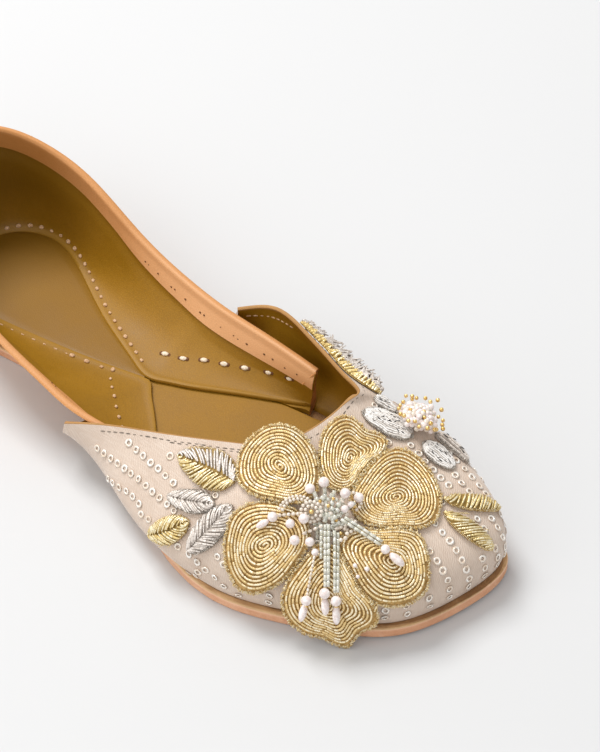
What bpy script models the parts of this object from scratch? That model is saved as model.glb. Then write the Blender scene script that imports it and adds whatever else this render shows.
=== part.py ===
# Mojari shoe (jutti) for the right foot: a flat leather slip-on with an embroidered vamp.
# Sizes are in millimetres and are scaled to metres when a mesh is made.
# X runs from the heel to the toe, +Y is the inner side of the foot, Z is up.
# The origin lies on the underside of the sole, TREAD_X in front of the heel's back.

import math

import bmesh
import bpy
import numpy as np
from mathutils import Vector
from mathutils.bvhtree import BVHTree

MM = 0.001
GAP = 0.3  # clearance between pieces that touch

# Driving dimensions
SOLE_LENGTH = 240.0
BALL_WIDTH = 87.0
HEEL_HEIGHT = 54.0  # top of the back part at the heel
INSTEP_HEIGHT = 43.5  # top of the vamp at the throat
SIDE_HEIGHT = 25.0  # top of the back part where the vamp laps over it
TREAD_X = 100.0

SOLE_THICKNESS = 4.5
SOLE_BEVEL = 0.9
BALL_STATION = 0.72  # the sole is flat up to here, and turns up in front of it
TOE_SPRING = 1.5
INSOLE_THICKNESS = 1.8
SOCK_THICKNESS = 0.7
SOCK_FRONT = 86.0
SOCK_MARGIN = 0.8
SOCK_START = 0.03  # share of its length at which it begins, past the pointed end of the line
VAMP_WALL = 2.0
VAMP_EDGE = 1.3  # the wall is skived thinner at the edge of the throat
QUARTER_WALL = 2.2
END_WALL = 0.9  # the foot of the wall where the wings run out
RIM_BAND_WIDTH = 7.2  # the folded band round the rim, on the inside of the wall
RIM_BAND_STEP = 0.7
BAND_CLEAR = 0.4  # no row of points this close to the band's lower edge
FOOT_THICKNESS = 1.1  # the turned-in foot of the back part, on the insole
TOE_MARGIN = 2.2  # width of sole seen round the toe
WAIST_MARGIN = 1.2
MARGIN_RANGE = (150.0, 205.0)  # the margin widens between these stations
LAP_INSET = VAMP_WALL + 1.0  # the back part stands this much further in, inside the vamp
LAP_RANGE = (84.0, 100.0)  # its wall steps inward between these stations
FLOOR_LAP_START = (76.0, 96.0)  # the insole narrows between these stations
FLOOR_LAP_END = (2.0, 14.0)  # and widens again past the end of the wings
FLARE_RANGE = (20.0, 70.0)  # the back part leans outward between these stations
EDGE_BEVEL = 0.3

# Rows and columns of the meshes
SOLE_STATIONS = 44
INSOLE_STATIONS = 36
SOCK_STATIONS = 16
QUARTER_MESH = (47, 8)
VAMP_MESH = (57, 9)
VAMP_DENSE = (121, 25)  # the vamp's face that the ornament is laid on
PETAL_SIDES = 20
HEART_SIDES = 16
DROP_SIDES = 6
LEAF_STATIONS = 9
DOME_SIDES = 12
MERGE_DISTANCE = 0.01
SHARP_ANGLE = 40.0

UPPER_BASE = SOLE_THICKNESS + GAP
INSOLE_TOP = UPPER_BASE + INSOLE_THICKNESS
FOOT_TOP = INSOLE_TOP + GAP + FOOT_THICKNESS

# Sole outline: station as a share of the length, outer and inner half widths as a share of the ball width
SOLE_TIPS = {"heel": 0.02, "toe": 0.31}
SOLE_ROWS = (
    # station, lateral, medial
    (0.025, 0.205, 0.240),
    (0.083, 0.300, 0.342),
    (0.150, 0.305, 0.358),
    (0.230, 0.255, 0.330),
    (0.320, 0.212, 0.282),
    (0.390, 0.215, 0.268),
    (0.460, 0.255, 0.316),
    (0.530, 0.325, 0.396),
    (0.600, 0.412, 0.463),
    (0.680, 0.468, 0.504),
    (0.767, 0.452, 0.528),
    (0.850, 0.340, 0.535),
    (0.933, 0.180, 0.523),
    (0.983, -0.010, 0.472),
)

# Ribs of the vamp, from the outer rear corner round the toe to the inner rear corner.
# side and station place the rib's foot on the sole; x, y, z is its top on the edge of the throat.
# out and rise bend the rib at its foot, reach and drop bend it below its top.
VAMP_RIBS = (
    # side, station, x, y, z, out, rise, reach, drop
    (-1, 0.410, 104.0, -38.0, 21.2, 16.0, 3.0, 2.0, 8.0),
    (-1, 0.500, 121.0, -31.0, 28.8, 17.0, 3.0, 9.0, 12.0),
    (-1, 0.583, 139.0, -23.5, 34.3, 16.0, 4.0, 17.0, 13.0),
    (-1, 0.667, 157.0, -14.5, 39.0, 12.0, 6.0, 22.0, 14.0),
    (-1, 0.767, 170.0, -7.5, 42.2, 6.5, 12.0, 25.0, 12.0),
    (-1, 0.850, 174.5, -4.0, 43.0, 4.5, 15.0, 28.0, 14.0),
    (-1, 0.933, 175.5, 2.0, 43.3, 4.0, 18.0, 35.0, 17.0),
    (-1, 0.983, 176.0, 8.0, INSTEP_HEIGHT, 4.0, 20.0, 40.0, 19.0),
    (1, 1.000, 176.0, 14.0, INSTEP_HEIGHT, 5.0, 21.0, 43.0, 19.0),
    (1, 0.983, 175.5, 20.0, INSTEP_HEIGHT, 6.5, 20.0, 41.0, 18.0),
    (1, 0.933, 175.0, 26.5, INSTEP_HEIGHT, 5.5, 17.0, 31.0, 17.0),
    (1, 0.850, 173.0, 32.0, 43.0, 4.0, 13.0, 20.0, 15.0),
    (1, 0.767, 163.0, 35.0, 40.3, 5.0, 10.0, 11.0, 13.0),
    (1, 0.667, 149.0, 39.0, 37.2, 8.0, 8.0, 8.0, 13.0),
    (1, 0.583, 135.0, 42.8, 34.0, 11.0, 6.0, 7.0, 12.0),
    (1, 0.500, 120.0, 46.0, 30.0, 13.0, 4.0, 4.0, 12.0),
    (1, 0.445, 110.0, 44.5, 26.0, 13.0, 3.0, 2.0, 10.0),
    (1, 0.410, 104.0, 39.0, 24.0, 13.0, 3.0, 2.0, 8.0),
)

# Rim of the back part: distance from the rim's back, half widths and height
RIM_TIP = (-6.0, HEEL_HEIGHT)
RIM_ROWS = (
    # x, lateral, medial, z
    (1.0, 18.0, 18.0, 51.8),
    (17.0, 27.5, 28.0, 46.7),
    (34.0, 33.0, 32.0, 41.2),
    (61.0, 36.0, 33.0, 31.4),
    (90.0, 35.5, 34.0, 26.5),
    (104.0, 34.8, 35.5, SIDE_HEIGHT),
    (118.0, 31.5, 38.0, 23.8),
    (144.0, 27.0, 40.8, 23.2),
)
WING_END = 144.0

# Inner edge of the turned-in foot: it leaves the heel bare, meets at a V, and parts again along the wings
FOOT_EDGE_TIP = 4.5
FOOT_EDGE_ROWS = (
    # x, lateral, medial
    (8.0, 13.0, 14.0),
    (15.0, 19.0, 20.5),
    (24.0, 20.5, 23.0),
    (40.0, 17.0, 19.5),
    (64.0, 9.5, 11.0),
    (88.0, 0.5, 5.0),
    (96.5, -2.9, 4.0),
    (98.5, -3.2, 4.6),
    (102.0, -0.8, 6.8),
    (108.0, 3.4, 10.6),
    (120.0, 11.8, 19.6),
    (132.0, 20.3, 28.4),
    (144.0, 28.5, 37.0),
)

# Flower of laid cord on the front of the vamp. Its plane faces up and forward, to the outer side.
FLOWER_CENTRE = (198.8, -6.5, 32.1)
FLOWER_TURN = 48.0
FLOWER_TILT = 47.0
PETAL_THICKNESS = 2.0
PETAL_BORDER = 1.0  # thickness of the coiled border
PETAL_FLOOR = 1.2  # the petal that reaches past the toe stays this far above the floor
PETAL_SECTION = (
    # share of the radius, height
    (0.0, 0.0),
    (0.5, 0.0),
    (1.0, 0.0),
    (1.0, PETAL_BORDER),
    (0.9, 0.9 * PETAL_THICKNESS),
    (0.5, PETAL_THICKNESS),
    (0.0, PETAL_THICKNESS),
)
PETALS = {
    # centre of the spiral across and along the flower's plane, stiffness, radii round the spiral
    "petal_1": (-14.4, 15.6, 3.0e4, (
        11.9, 11.5, 11.7, 12.4, 12.8, 12.7, 12.5, 12.9, 13.3, 13.4, 12.0, 10.6, 10.6, 12.2, 13.5, 13.1,
    )),
    "petal_2": (-19.1, -9.4, 3.0e4, (
        13.2, 14.4, 14.4, 13.3, 13.1, 13.4, 13.5, 12.6, 12.5, 13.3, 15.0, 16.2, 14.4, 12.4, 11.3, 11.5,
    )),
    "petal_3": (0.9, -27.3, 3.0e5, (
        13.4, 10.4, 10.8, 13.2, 17.9, 15.7, 13.7, 13.8, 14.2, 13.7, 12.8, 12.0, 12.4, 15.6, 13.9, 16.3,
    )),
    "petal_4": (21.2, -14.6, 3.0e4, (
        11.3, 11.4, 11.6, 10.4, 9.8, 10.5, 14.1, 17.5, 14.2, 12.7, 12.8, 13.5, 13.7, 13.9, 13.8, 12.4,
    )),
    "petal_5": (22.8, 5.6, 3.0e4, (
        14.0, 13.4, 13.5, 14.4, 14.8, 13.3, 12.2, 12.4, 14.0, 13.7, 11.6, 9.8, 9.1, 10.0, 12.8, 14.3,
    )),
    "petal_6": (8.1, 18.0, 3.0e4, (
        7.9, 12.6, 10.8, 10.4, 12.8, 12.7, 11.4, 10.1, 9.6, 10.0, 10.7, 10.8, 9.3, 6.6, 5.8, 6.1,
    )),
}

# Heart of the flower: its stem stands between the petals and its rings of beads rest over them
HEART_STEM = 5.0
HEART_RINGS = ((8.4, 0.0), (8.2, 1.4), (4.6, 2.8))  # radius, height over the petals
HEART_TOP = 3.4

# Drops of pearls: start and end in the flower's plane; a thin strand, then a round and a long pearl
PEARL_DROPS = {
    "pearl_drop_1": (-4.0, -9.6, -6.6, -31.5),
    "pearl_drop_2": (0.3, -10.4, 0.3, -30.8),
    "pearl_drop_3": (4.0, -9.6, 3.6, -34.0),
    "pearl_drop_4": (9.2, -3.6, 24.0, -15.6),
    "pearl_drop_5": (-9.8, -0.6, -19.5, -2.6),
}
DROP_RINGS = (
    # share of the length, radius
    (0.0, 0.45),
    (0.55, 0.5),
    (0.62, 1.25),
    (0.70, 1.25),
    (0.76, 0.8),
    (0.84, 1.2),
    (0.93, 1.1),
    (1.0, 0.4),
)

DROP_STEPS = 41

# Leaves and side petals: angle and share up the vamp at the base and at the tip, half width, thickness
LEAVES = {
    "leaf_1": (-60.0, 0.820, -74.8, 0.885, 6.4, 2.0),
    "leaf_2": (-62.0, 0.690, -71.5, 0.650, 3.6, 1.8),
    "leaf_3": (-58.2, 0.710, -63.8, 0.375, 4.7, 1.8),
    "leaf_4": (-65.4, 0.560, -72.2, 0.320, 4.2, 1.8),
    "leaf_5": (42.5, 0.870, 84.0, 0.960, 4.2, 5.2),
    "leaf_6": (6.9, 0.600, 15.6, 0.325, 3.0, 2.0),
    "leaf_7": (4.4, 0.560, 5.0, 0.240, 3.2, 2.0),
}
SILVER_LEAVES = ("leaf_2", "leaf_3")
SIDE_PETALS = {
    "side_petal_1": (15.8, 0.774, 17.6, 0.936, 5.2, 1.4),
    "side_petal_2": (15.6, 0.735, 14.0, 0.610, 4.1, 1.4),
    "side_petal_3": (23.5, 0.815, 33.8, 0.905, 2.3, 1.2),
    "side_petal_4": (21.6, 0.665, 19.6, 0.520, 2.0, 3.0),
}
LEAF_SECTION = ((-1, 0.0), (0, 0.0), (1, 0.0), (1, 0.35), (0, 1.0), (-1, 0.35))  # side, share of the height
LEAF_END = 0.06  # how blunt the ends are
LEAF_SKEW = 0.85
LEAF_FULLNESS = 0.8
LEAF_LOW = 0.4  # share of the height that is left at the ends
SIDE_HEART = (23.2, 0.735, 4.9, 6.6)  # angle, share, radius, height
DOME_RINGS = ((1.0, 0.0), (1.0, 0.45), (0.6, 0.9))  # share of the radius, share of the height
DOME_LIFT = 0.9

# Laying the ornament on the vamp
OVERLAY_GAP = GAP + 0.12
CAST_HEIGHT = 60.0  # rays start this far over the flower's plane
UNDER_LEVEL = -10.0  # level where there is nothing under the flower
LOWEST_LEVEL = -20.0  # the vamp's far side, met past its edge, lies under this
FACING_SEEN = 0.3
FACING_FIT = 0.5
SHEET_RINGS = (0.1, 1.0, 10)
SHEET_SPOTS = 40
TILTS_ACROSS = (-0.3, 0.3, 13)
TILTS_ALONG = (-0.8, 0.8, 33)
DISC_SHARES = (0.0, 0.3, 0.6, 0.8, 1.0)
DISC_SPOTS = 73
RIB_STEPS = 41
VAMP_INSIDE = (170.0, 4.0, 5.0)  # a place inside the vamp, behind every leaf


def splineValues(knots, values, at):
    """Natural cubic spline through the rows of values, read at each place in at."""
    knots = np.asarray(knots, float)
    values = np.asarray(values, float)
    count = len(knots)
    step = np.diff(knots)
    slope = np.diff(values, axis=0) / step[:, None]
    system = np.eye(count)
    right = np.zeros_like(values)
    for i in range(1, count - 1):
        system[i, i - 1] = step[i - 1]
        system[i, i] = 2.0 * (step[i - 1] + step[i])
        system[i, i + 1] = step[i]
        right[i] = 6.0 * (slope[i] - slope[i - 1])
    bend = np.linalg.solve(system, right)
    at = np.atleast_1d(np.asarray(at, float))
    i = np.clip(np.searchsorted(knots, at) - 1, 0, count - 2)
    h = step[i][:, None]
    a = ((knots[i + 1] - at) / step[i])[:, None]
    b = 1.0 - a
    return a * values[i] + b * values[i + 1] + ((a**3 - a) * bend[i] + (b**3 - b) * bend[i + 1]) * h * h / 6.0


def stationAngle(station):
    """Angle round the sole from the heel: 0 at its back, pi at the toe."""
    return math.acos(1.0 - 2.0 * station)


def outlineKnots():
    rows = [(0.0, SOLE_TIPS["heel"])]
    rows += [(stationAngle(s), medial) for s, lateral, medial in SOLE_ROWS]
    rows += [(math.pi, SOLE_TIPS["toe"])]
    rows += [(2.0 * math.pi - stationAngle(s), -lateral) for s, lateral, medial in reversed(SOLE_ROWS)]
    angles = np.array([row[0] for row in rows])
    shares = np.array([row[1] for row in rows])
    turn = 2.0 * math.pi
    return np.concatenate((angles - turn, angles, angles + turn)), np.tile(shares, 3)


OUTLINE_ANGLES, OUTLINE_SHARES = outlineKnots()


def outlinePoint(angle, inset=0.0):
    """Points on the sole's outline, moved inward by inset. Angles up to pi run along the inner side."""
    angle = np.atleast_1d(np.asarray(angle, float))

    def raw(at):
        y = BALL_WIDTH * splineValues(OUTLINE_ANGLES, OUTLINE_SHARES[:, None], at)[:, 0]
        x = 0.5 * SOLE_LENGTH * (1.0 - np.cos(at))
        return np.stack((x, y), axis=1)

    step = 0.01
    along = raw(angle + step) - raw(angle - step)
    along /= np.linalg.norm(along, axis=1)[:, None]
    outward = np.stack((-along[:, 1], along[:, 0]), axis=1)
    return raw(angle) - outward * np.reshape(inset, (-1, 1)), outward


def springHeight(x):
    """Height of the sole's underside above the floor."""
    start = BALL_STATION * SOLE_LENGTH
    share = np.clip((np.asarray(x, float) - start) / (SOLE_LENGTH - start), 0.0, None)
    return TOE_SPRING * share**2


def halfCurves(inset):
    """Inner and outer halves of the inset outline, as dense curves from heel to toe."""
    angles = np.linspace(0.0, 2.0 * math.pi, 721)
    points, _ = outlinePoint(angles, inset(0.5 * SOLE_LENGTH * (1.0 - np.cos(angles))))
    back = int(np.argmin(points[:-1, 0]))
    points = np.roll(points[:-1], -back, axis=0)
    front = int(np.argmax(points[:, 0]))
    medial = points[: front + 1]
    lateral = np.vstack((points[front:], points[:1]))[::-1]
    return lateral, medial


def sideRows(inset, count):
    """Rows of x, outer y and inner y, closer together towards heel and toe."""
    lateral, medial = halfCurves(inset)
    low, high = medial[0, 0], medial[-1, 0]
    x = low + (high - low) * 0.5 * (1.0 - np.cos(np.linspace(0.0, math.pi, count)))
    outer = np.interp(x, lateral[:, 0], lateral[:, 1])
    inner = np.interp(x, medial[:, 0], medial[:, 1])
    return x, outer, inner


def bezier(p0, p1, p2, p3, count):
    t = np.linspace(0.0, 1.0, count)[:, None]
    return (1 - t) ** 3 * p0 + 3 * (1 - t) ** 2 * t * p1 + 3 * (1 - t) * t**2 * p2 + t**3 * p3


def smoothStep(value, low, high):
    share = np.clip((value - low) / (high - low), 0.0, 1.0)
    return share * share * (3.0 - 2.0 * share)


def newMaterial(name, color, roughness, metallic=0.0):
    material = bpy.data.materials.new(name)
    material.use_nodes = True
    shader = material.node_tree.nodes["Principled BSDF"]
    shader.inputs["Base Color"].default_value = (*color, 1.0)
    shader.inputs["Roughness"].default_value = roughness
    shader.inputs["Metallic"].default_value = metallic
    material.diffuse_color = (*color, 1.0)
    return material


def addPiece(name, mesh, material, collection):
    mesh.materials.append(material)
    piece = bpy.data.objects.new(name, mesh)
    collection.objects.link(piece)
    return piece


def meshFromLoops(name, loops, closedEnds=True):
    """Joins equal closed loops of points one after the other, and closes the first and the last."""
    loops = np.asarray(loops, float)
    rows, around = loops.shape[:2]
    bm = bmesh.new()
    grid = []
    for loop in loops:
        grid.append([bm.verts.new(((x - TREAD_X) * MM, y * MM, z * MM)) for x, y, z in loop])
    for i in range(rows - 1):
        for j in range(around):
            k = (j + 1) % around
            bm.faces.new((grid[i][j], grid[i + 1][j], grid[i + 1][k], grid[i][k]))
    if closedEnds:
        bm.faces.new(grid[0])
        bm.faces.new(grid[-1][::-1])
    bmesh.ops.remove_doubles(bm, verts=bm.verts, dist=MERGE_DISTANCE * MM)
    bmesh.ops.triangulate(bm, faces=bm.faces, quad_method="BEAUTY", ngon_method="BEAUTY")
    bmesh.ops.recalc_face_normals(bm, faces=bm.faces)
    mesh = bpy.data.meshes.new(name)
    bm.to_mesh(mesh)
    bm.free()
    mesh.shade_smooth()
    mesh.set_sharp_from_angle(angle=math.radians(SHARP_ANGLE))
    return mesh


def soleInset(x):
    return np.zeros_like(x)


def insoleInset(x):
    """The floor inside the upper is narrower where the back part stands inside the vamp."""
    clear = TOE_MARGIN + VAMP_WALL + 2.0 * GAP
    lappedClear = WAIST_MARGIN + LAP_INSET + QUARTER_WALL + GAP
    past = smoothStep(x, WING_END + FLOOR_LAP_END[0], WING_END + FLOOR_LAP_END[1])
    lapped = smoothStep(x, *FLOOR_LAP_START) * (1.0 - past)
    return clear + lapped * (lappedClear - clear)


def slabLoops(inset, bottom, thickness, bevel, count):
    """Cross sections of a slab that follows the sole's outline and its toe spring."""
    loops = []
    for x, outer, inner in zip(*sideRows(inset, count)):
        b = min(bevel, 0.3 * (inner - outer))
        low = bottom + springHeight(x)
        high = low + thickness
        loops.append(
            [
                (x, outer + b, low),
                (x, outer, low + b),
                (x, outer, high - b),
                (x, outer + b, high),
                (x, inner - b, high),
                (x, inner, high - b),
                (x, inner, low + b),
                (x, inner - b, low),
            ]
        )
    return loops


def soleLoops():
    return slabLoops(soleInset, 0.0, SOLE_THICKNESS, SOLE_BEVEL, SOLE_STATIONS)


def insoleLoops():
    return slabLoops(insoleInset, UPPER_BASE, INSOLE_THICKNESS, EDGE_BEVEL, INSOLE_STATIONS)


def vampKnots():
    """Angle of each rib, measured round the sole from the toe: the outer side is negative."""
    angles = [side * (math.pi - stationAngle(station)) for side, station, *_ in VAMP_RIBS]
    return np.array(angles), np.array([row[2:] for row in VAMP_RIBS])


VAMP_ANGLES, VAMP_VALUES = vampKnots()


def vampMargin(x):
    """Width of sole left free outside the vamp's foot."""
    return WAIST_MARGIN + (TOE_MARGIN - WAIST_MARGIN) * smoothStep(x, *MARGIN_RANGE)


def vampRib(angle, count):
    """Points of one rib of the vamp's outer face, from the sole up to the edge of the throat."""
    place = math.pi - angle
    point, outward = outlinePoint(place)
    margin = vampMargin(point[0, 0])
    foot, outward = outlinePoint(place, margin)
    x, y, z, out, rise, reach, drop = splineValues(VAMP_ANGLES, VAMP_VALUES, angle)[0]
    base = UPPER_BASE + float(springHeight(foot[0, 0]))
    side = np.array((outward[0, 0], outward[0, 1], 0.0))
    p0 = np.array((foot[0, 0], foot[0, 1], base))
    p3 = np.array((x, y, z))
    p1 = p0 + side * out + np.array((0.0, 0.0, rise))
    p2 = p3 + side * reach - np.array((0.0, 0.0, drop))
    return bezier(p0, p1, p2, p3, count)


def vampGrid(across, up):
    angles = np.linspace(VAMP_ANGLES[0], VAMP_ANGLES[-1], across)
    return np.array([vampRib(angle, up) for angle in angles])


def gridNormals(grid):
    along = np.gradient(grid, axis=0)
    upward = np.gradient(grid, axis=1)
    normals = np.cross(along, upward)
    return normals / np.linalg.norm(normals, axis=2)[:, :, None]


def vampLoops(across, up):
    outer = vampGrid(across, up)
    normals = gridNormals(outer)
    wall = np.linspace(VAMP_WALL, VAMP_EDGE, up)[None, :, None]
    inner = outer - normals * wall
    inner[:, 0, 2] = outer[:, 0, 2]
    return np.concatenate((outer, inner[:, ::-1]), axis=1)


def sideLine(tip, rows):
    """Knots of a line round the heel. Rows hold x, outer y, inner y and any further columns."""
    span = WING_END - tip[0]
    knots = []
    for row in rows:
        share = (row[0] - tip[0]) / span * WING_END / SOLE_LENGTH
        angle = stationAngle(share)
        knots.append((angle, row[2], *row[3:]))
        knots.append((-angle, -row[1], *row[3:]))
    knots.append((0.0, 0.0, *tip[1:]))
    knots.sort(key=lambda knot: knot[0])
    knots = np.array(knots)
    return knots[:, 0], knots[:, 1:]


def sideLineX(tip, angle):
    share = 0.5 * (1.0 - math.cos(angle)) * SOLE_LENGTH / WING_END
    return tip + (WING_END - tip) * share


RIM_ANGLES, RIM_VALUES = sideLine(RIM_TIP, RIM_ROWS)
FOOT_ANGLES, FOOT_VALUES = sideLine((FOOT_EDGE_TIP,), FOOT_EDGE_ROWS)


def footEdge(angle):
    y = splineValues(FOOT_ANGLES, FOOT_VALUES, angle)[0, 0]
    return sideLineX(FOOT_EDGE_TIP, angle), y


def quarterOuter(base, rim, side, flare, up):
    """Outer face of the back part: it leans inward at the heel and outward along the sides."""
    height = np.array((0.0, 0.0, rim[2] - base[2]))
    low = base + side * (3.0 + 4.0 * flare) + height * (0.40 - 0.20 * flare)
    high = rim - side * (6.0 * flare - 1.0) - height * 0.38
    return bezier(base, low, high, rim, up)


def quarterInner(rim, edge, side, drop, up):
    """Inner face: down from the rim and turned in over the insole up to the edge of the foot."""
    reach = min(0.62 * np.linalg.norm((rim - edge)[:2]), 16.0)
    high = rim - side * 0.5 - np.array((0.0, 0.0, 0.45 * drop))
    low = edge + side * reach + np.array((0.0, 0.0, 0.4))
    return bezier(rim, high, low, edge, up)


def quarterSection(angle, up):
    """Closed section of the back part: outer face, rim, inner face with its band, turned-in foot."""
    place = angle if angle >= 0.0 else 2.0 * math.pi + angle
    x = 0.5 * SOLE_LENGTH * (1.0 - math.cos(angle))
    foot, outward = outlinePoint(place, WAIST_MARGIN + smoothStep(x, *LAP_RANGE) * LAP_INSET)
    side = np.array((outward[0, 0], outward[0, 1], 0.0))
    flare = smoothStep(x, *FLARE_RANGE)
    rimY, rimZ = splineValues(RIM_ANGLES, RIM_VALUES, angle)[0]
    rim = np.array((sideLineX(RIM_TIP[0], angle), rimY, rimZ))
    base = np.array((foot[0, 0], foot[0, 1], UPPER_BASE))
    edge = np.array((*footEdge(angle), FOOT_TOP))
    outer = quarterOuter(base, rim, side, flare, up)
    innerRim = rim - side * (QUARTER_WALL + RIM_BAND_STEP)
    inner = quarterInner(innerRim, edge, side, rim[2] - base[2], up + 2)
    inner = clearWall(inner, outer, side)
    inner = stepBand(inner, side, rim[2] - RIM_BAND_WIDTH)
    underEdge = edge - np.array((0.0, 0.0, FOOT_THICKNESS))
    heelBase = base - side * np.clip((base - edge) @ side + END_WALL, END_WALL, QUARTER_WALL)
    underWall = np.array((heelBase[0], heelBase[1], underEdge[2]))
    return np.vstack((outer, inner, [underEdge, underWall, heelBase]))


def clearWall(inner, outer, side):
    """Moves the inner face inward where the wall would be thinner than it is."""
    moved = inner.copy()
    for i in range(1, len(inner) - 1):
        place = np.interp(inner[i, 2], outer[:, 2], outer @ side)
        short = (inner[i] @ side) - (place - QUARTER_WALL)
        if short > 0.0:
            moved[i] -= side * short
    return moved


def stepBand(inner, side, low):
    """Sets the inner face below the band back by the step of the band."""
    upper = inner[inner[:, 2] > low + BAND_CLEAR]
    lower = inner[inner[:, 2] < low - BAND_CLEAR]
    level = np.interp(-low, -inner[:, 2], inner @ side)
    lip = upper[-1] + side * (level - upper[-1] @ side)
    lip[2] = low
    return matchRows(np.vstack((upper, [lip, lip + side * RIM_BAND_STEP], lower)), len(inner) + 2)


def matchRows(rows, count):
    """Adds or takes out points before the last one, until there are count points."""
    while len(rows) < count:
        rows = np.insert(rows, -1, 0.5 * (rows[-1] + rows[-2]), axis=0)
    while len(rows) > count:
        rows = np.delete(rows, -2, axis=0)
    return rows


def quarterLoops(around, up):
    end = stationAngle(WING_END / SOLE_LENGTH)
    return [quarterSection(angle, up) for angle in np.linspace(-end, end, around)]


def sockLoops(count):
    """Sections of the sock, between the edges of the turned-in foot."""
    low = INSOLE_TOP + GAP
    loops = []
    high = low + SOCK_THICKNESS
    for share in np.linspace(SOCK_START, 1.0, count):
        angle = stationAngle(share * SOCK_FRONT / SOLE_LENGTH)
        x, inner = footEdge(angle)
        _, outer = footEdge(-angle)
        inner -= SOCK_MARGIN
        outer += SOCK_MARGIN
        loops.append([(x, outer, low), (x, inner, low), (x, inner, high), (x, outer, high)])
    return loops


def surfaceTree(points, faces):
    return BVHTree.FromPolygons([Vector(point) for point in points], faces)


def gridTree(grid):
    rows, columns = grid.shape[:2]
    faces = []
    for i in range(rows - 1):
        for j in range(columns - 1):
            a = i * columns + j
            faces.append((a, a + columns, a + columns + 1, a + 1))
    return surfaceTree(grid.reshape(-1, 3), faces)


def flowerAxes():
    turn = math.radians(FLOWER_TURN)
    tilt = math.radians(FLOWER_TILT)
    normal = np.array((math.sin(turn) * math.cos(tilt), -math.cos(turn) * math.cos(tilt), math.sin(tilt)))
    across = np.array((math.cos(turn), math.sin(turn), 0.0))
    return across, np.cross(normal, across), normal


def flowerPoint(across, along, height):
    side, up, normal = flowerAxes()
    return np.array(FLOWER_CENTRE) + side * across + up * along + normal * height


def heightOver(tree, across, along):
    """Height of a surface over the flower's plane, and how squarely it faces along the normal."""
    normal = flowerAxes()[2]
    start = Vector(flowerPoint(across, along, CAST_HEIGHT))
    place, facing, _, distance = tree.ray_cast(start, Vector(-normal))
    if place is None:
        return None, 0.0
    return CAST_HEIGHT - distance, abs(float(np.array(facing) @ normal))


def levelOver(tree, across, along):
    height, _ = heightOver(tree, across, along)
    return UNDER_LEVEL if height is None else height


def petalRing(row, share, count):
    centreAcross, centreAlong, _, radii = row
    knots = np.arange(-len(radii), 2 * len(radii) + 1) * 2.0 * math.pi / len(radii)
    values = np.array([radii[i % len(radii)] for i in range(len(knots))])
    angles = np.arange(count) * 2.0 * math.pi / count
    reach = share * splineValues(knots, values[:, None], angles)[:, 0]
    return centreAcross + reach * np.cos(angles), centreAlong + reach * np.sin(angles)


def petalTerms(row, across, along):
    u = across - row[0]
    v = along - row[1]
    return np.stack((np.ones_like(u), u, v, u * u, u * v, v * v), axis=-1)


def petalSheet(tree, soleTree, row):
    """Smooth sheet that lies on the vamp under one petal and clears the vamp, the sole and the floor."""
    over = []
    clear = []
    for share in np.linspace(*SHEET_RINGS):
        for across, along in zip(*petalRing(row, share, SHEET_SPOTS)):
            height, facing = heightOver(tree, across, along)
            if height is not None and facing > FACING_SEEN and height > LOWEST_LEVEL:
                over.append((across, along, height, facing))
                clear.append((across, along, height + OVERLAY_GAP / facing))
            height, _ = heightOver(soleTree, across, along)
            if height is not None:
                clear.append((across, along, height + 2.0 * GAP))
            floor = (PETAL_FLOOR - flowerPoint(across, along, 0.0)[2]) / flowerAxes()[2][2]
            clear.append((across, along, floor))
    over = np.array(over)
    good = over[over[:, 3] > FACING_FIT]
    terms = petalTerms(row, good[:, 0], good[:, 1])
    stiff = np.diag([0.0, 0.0, 0.0, row[2], row[2], row[2]])
    sheet = np.linalg.solve(terms.T @ terms + stiff, terms.T @ good[:, 2])
    return seatedSheet(row, sheet, good, np.array(clear))


def seatedSheet(row, sheet, over, clear):
    """Tilts and lifts a sheet until it clears everything with the least gap over the vamp."""
    best = None
    clearTerms = petalTerms(row, clear[:, 0], clear[:, 1])
    overTerms = petalTerms(row, over[:, 0], over[:, 1])
    for tiltAcross in np.linspace(*TILTS_ACROSS):
        for tiltAlong in np.linspace(*TILTS_ALONG):
            trial = sheet + np.array((0.0, tiltAcross, tiltAlong, 0.0, 0.0, 0.0))
            trial[0] += np.max(clear[:, 2] - clearTerms @ trial)
            gap = float(np.mean(overTerms @ trial - over[:, 2]))
            if best is None or gap < best[0]:
                best = (gap, trial)
    return best[1]


def petalLoops(tree, soleTree, row, around):
    sheet = petalSheet(tree, soleTree, row)
    loops = []
    for share, rise in PETAL_SECTION:
        across, along = petalRing(row, share, around)
        height = petalTerms(row, across, along) @ sheet + rise
        loops.append([flowerPoint(u, v, h) for u, v, h in zip(across, along, height)])
    return loops


def flatRing(radius, height, around):
    angles = np.arange(around) * 2.0 * math.pi / around
    return [flowerPoint(radius * math.cos(a), radius * math.sin(a), height) for a in angles]


def highestUnder(tree, radius):
    """Highest place of a surface under a disc about the flower's centre."""
    levels = [
        levelOver(tree, share * radius * math.cos(a), share * radius * math.sin(a))
        for share in DISC_SHARES
        for a in np.linspace(0.0, 2.0 * math.pi, DISC_SPOTS)
    ]
    return max(levels)


def heartLoops(tree, petalsTree, around):
    base = highestUnder(tree, HEART_STEM) + OVERLAY_GAP
    over = highestUnder(petalsTree, HEART_RINGS[0][0]) + GAP
    rings = ((0.0, base), (HEART_STEM, base), (HEART_STEM, over))
    loops = [flatRing(radius, height, around) for radius, height in rings]
    for radius, height in HEART_RINGS:
        loops.append(flatRing(radius, over + height, around))
    loops.append(flatRing(0.0, over + HEART_TOP, around))
    return loops


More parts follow.
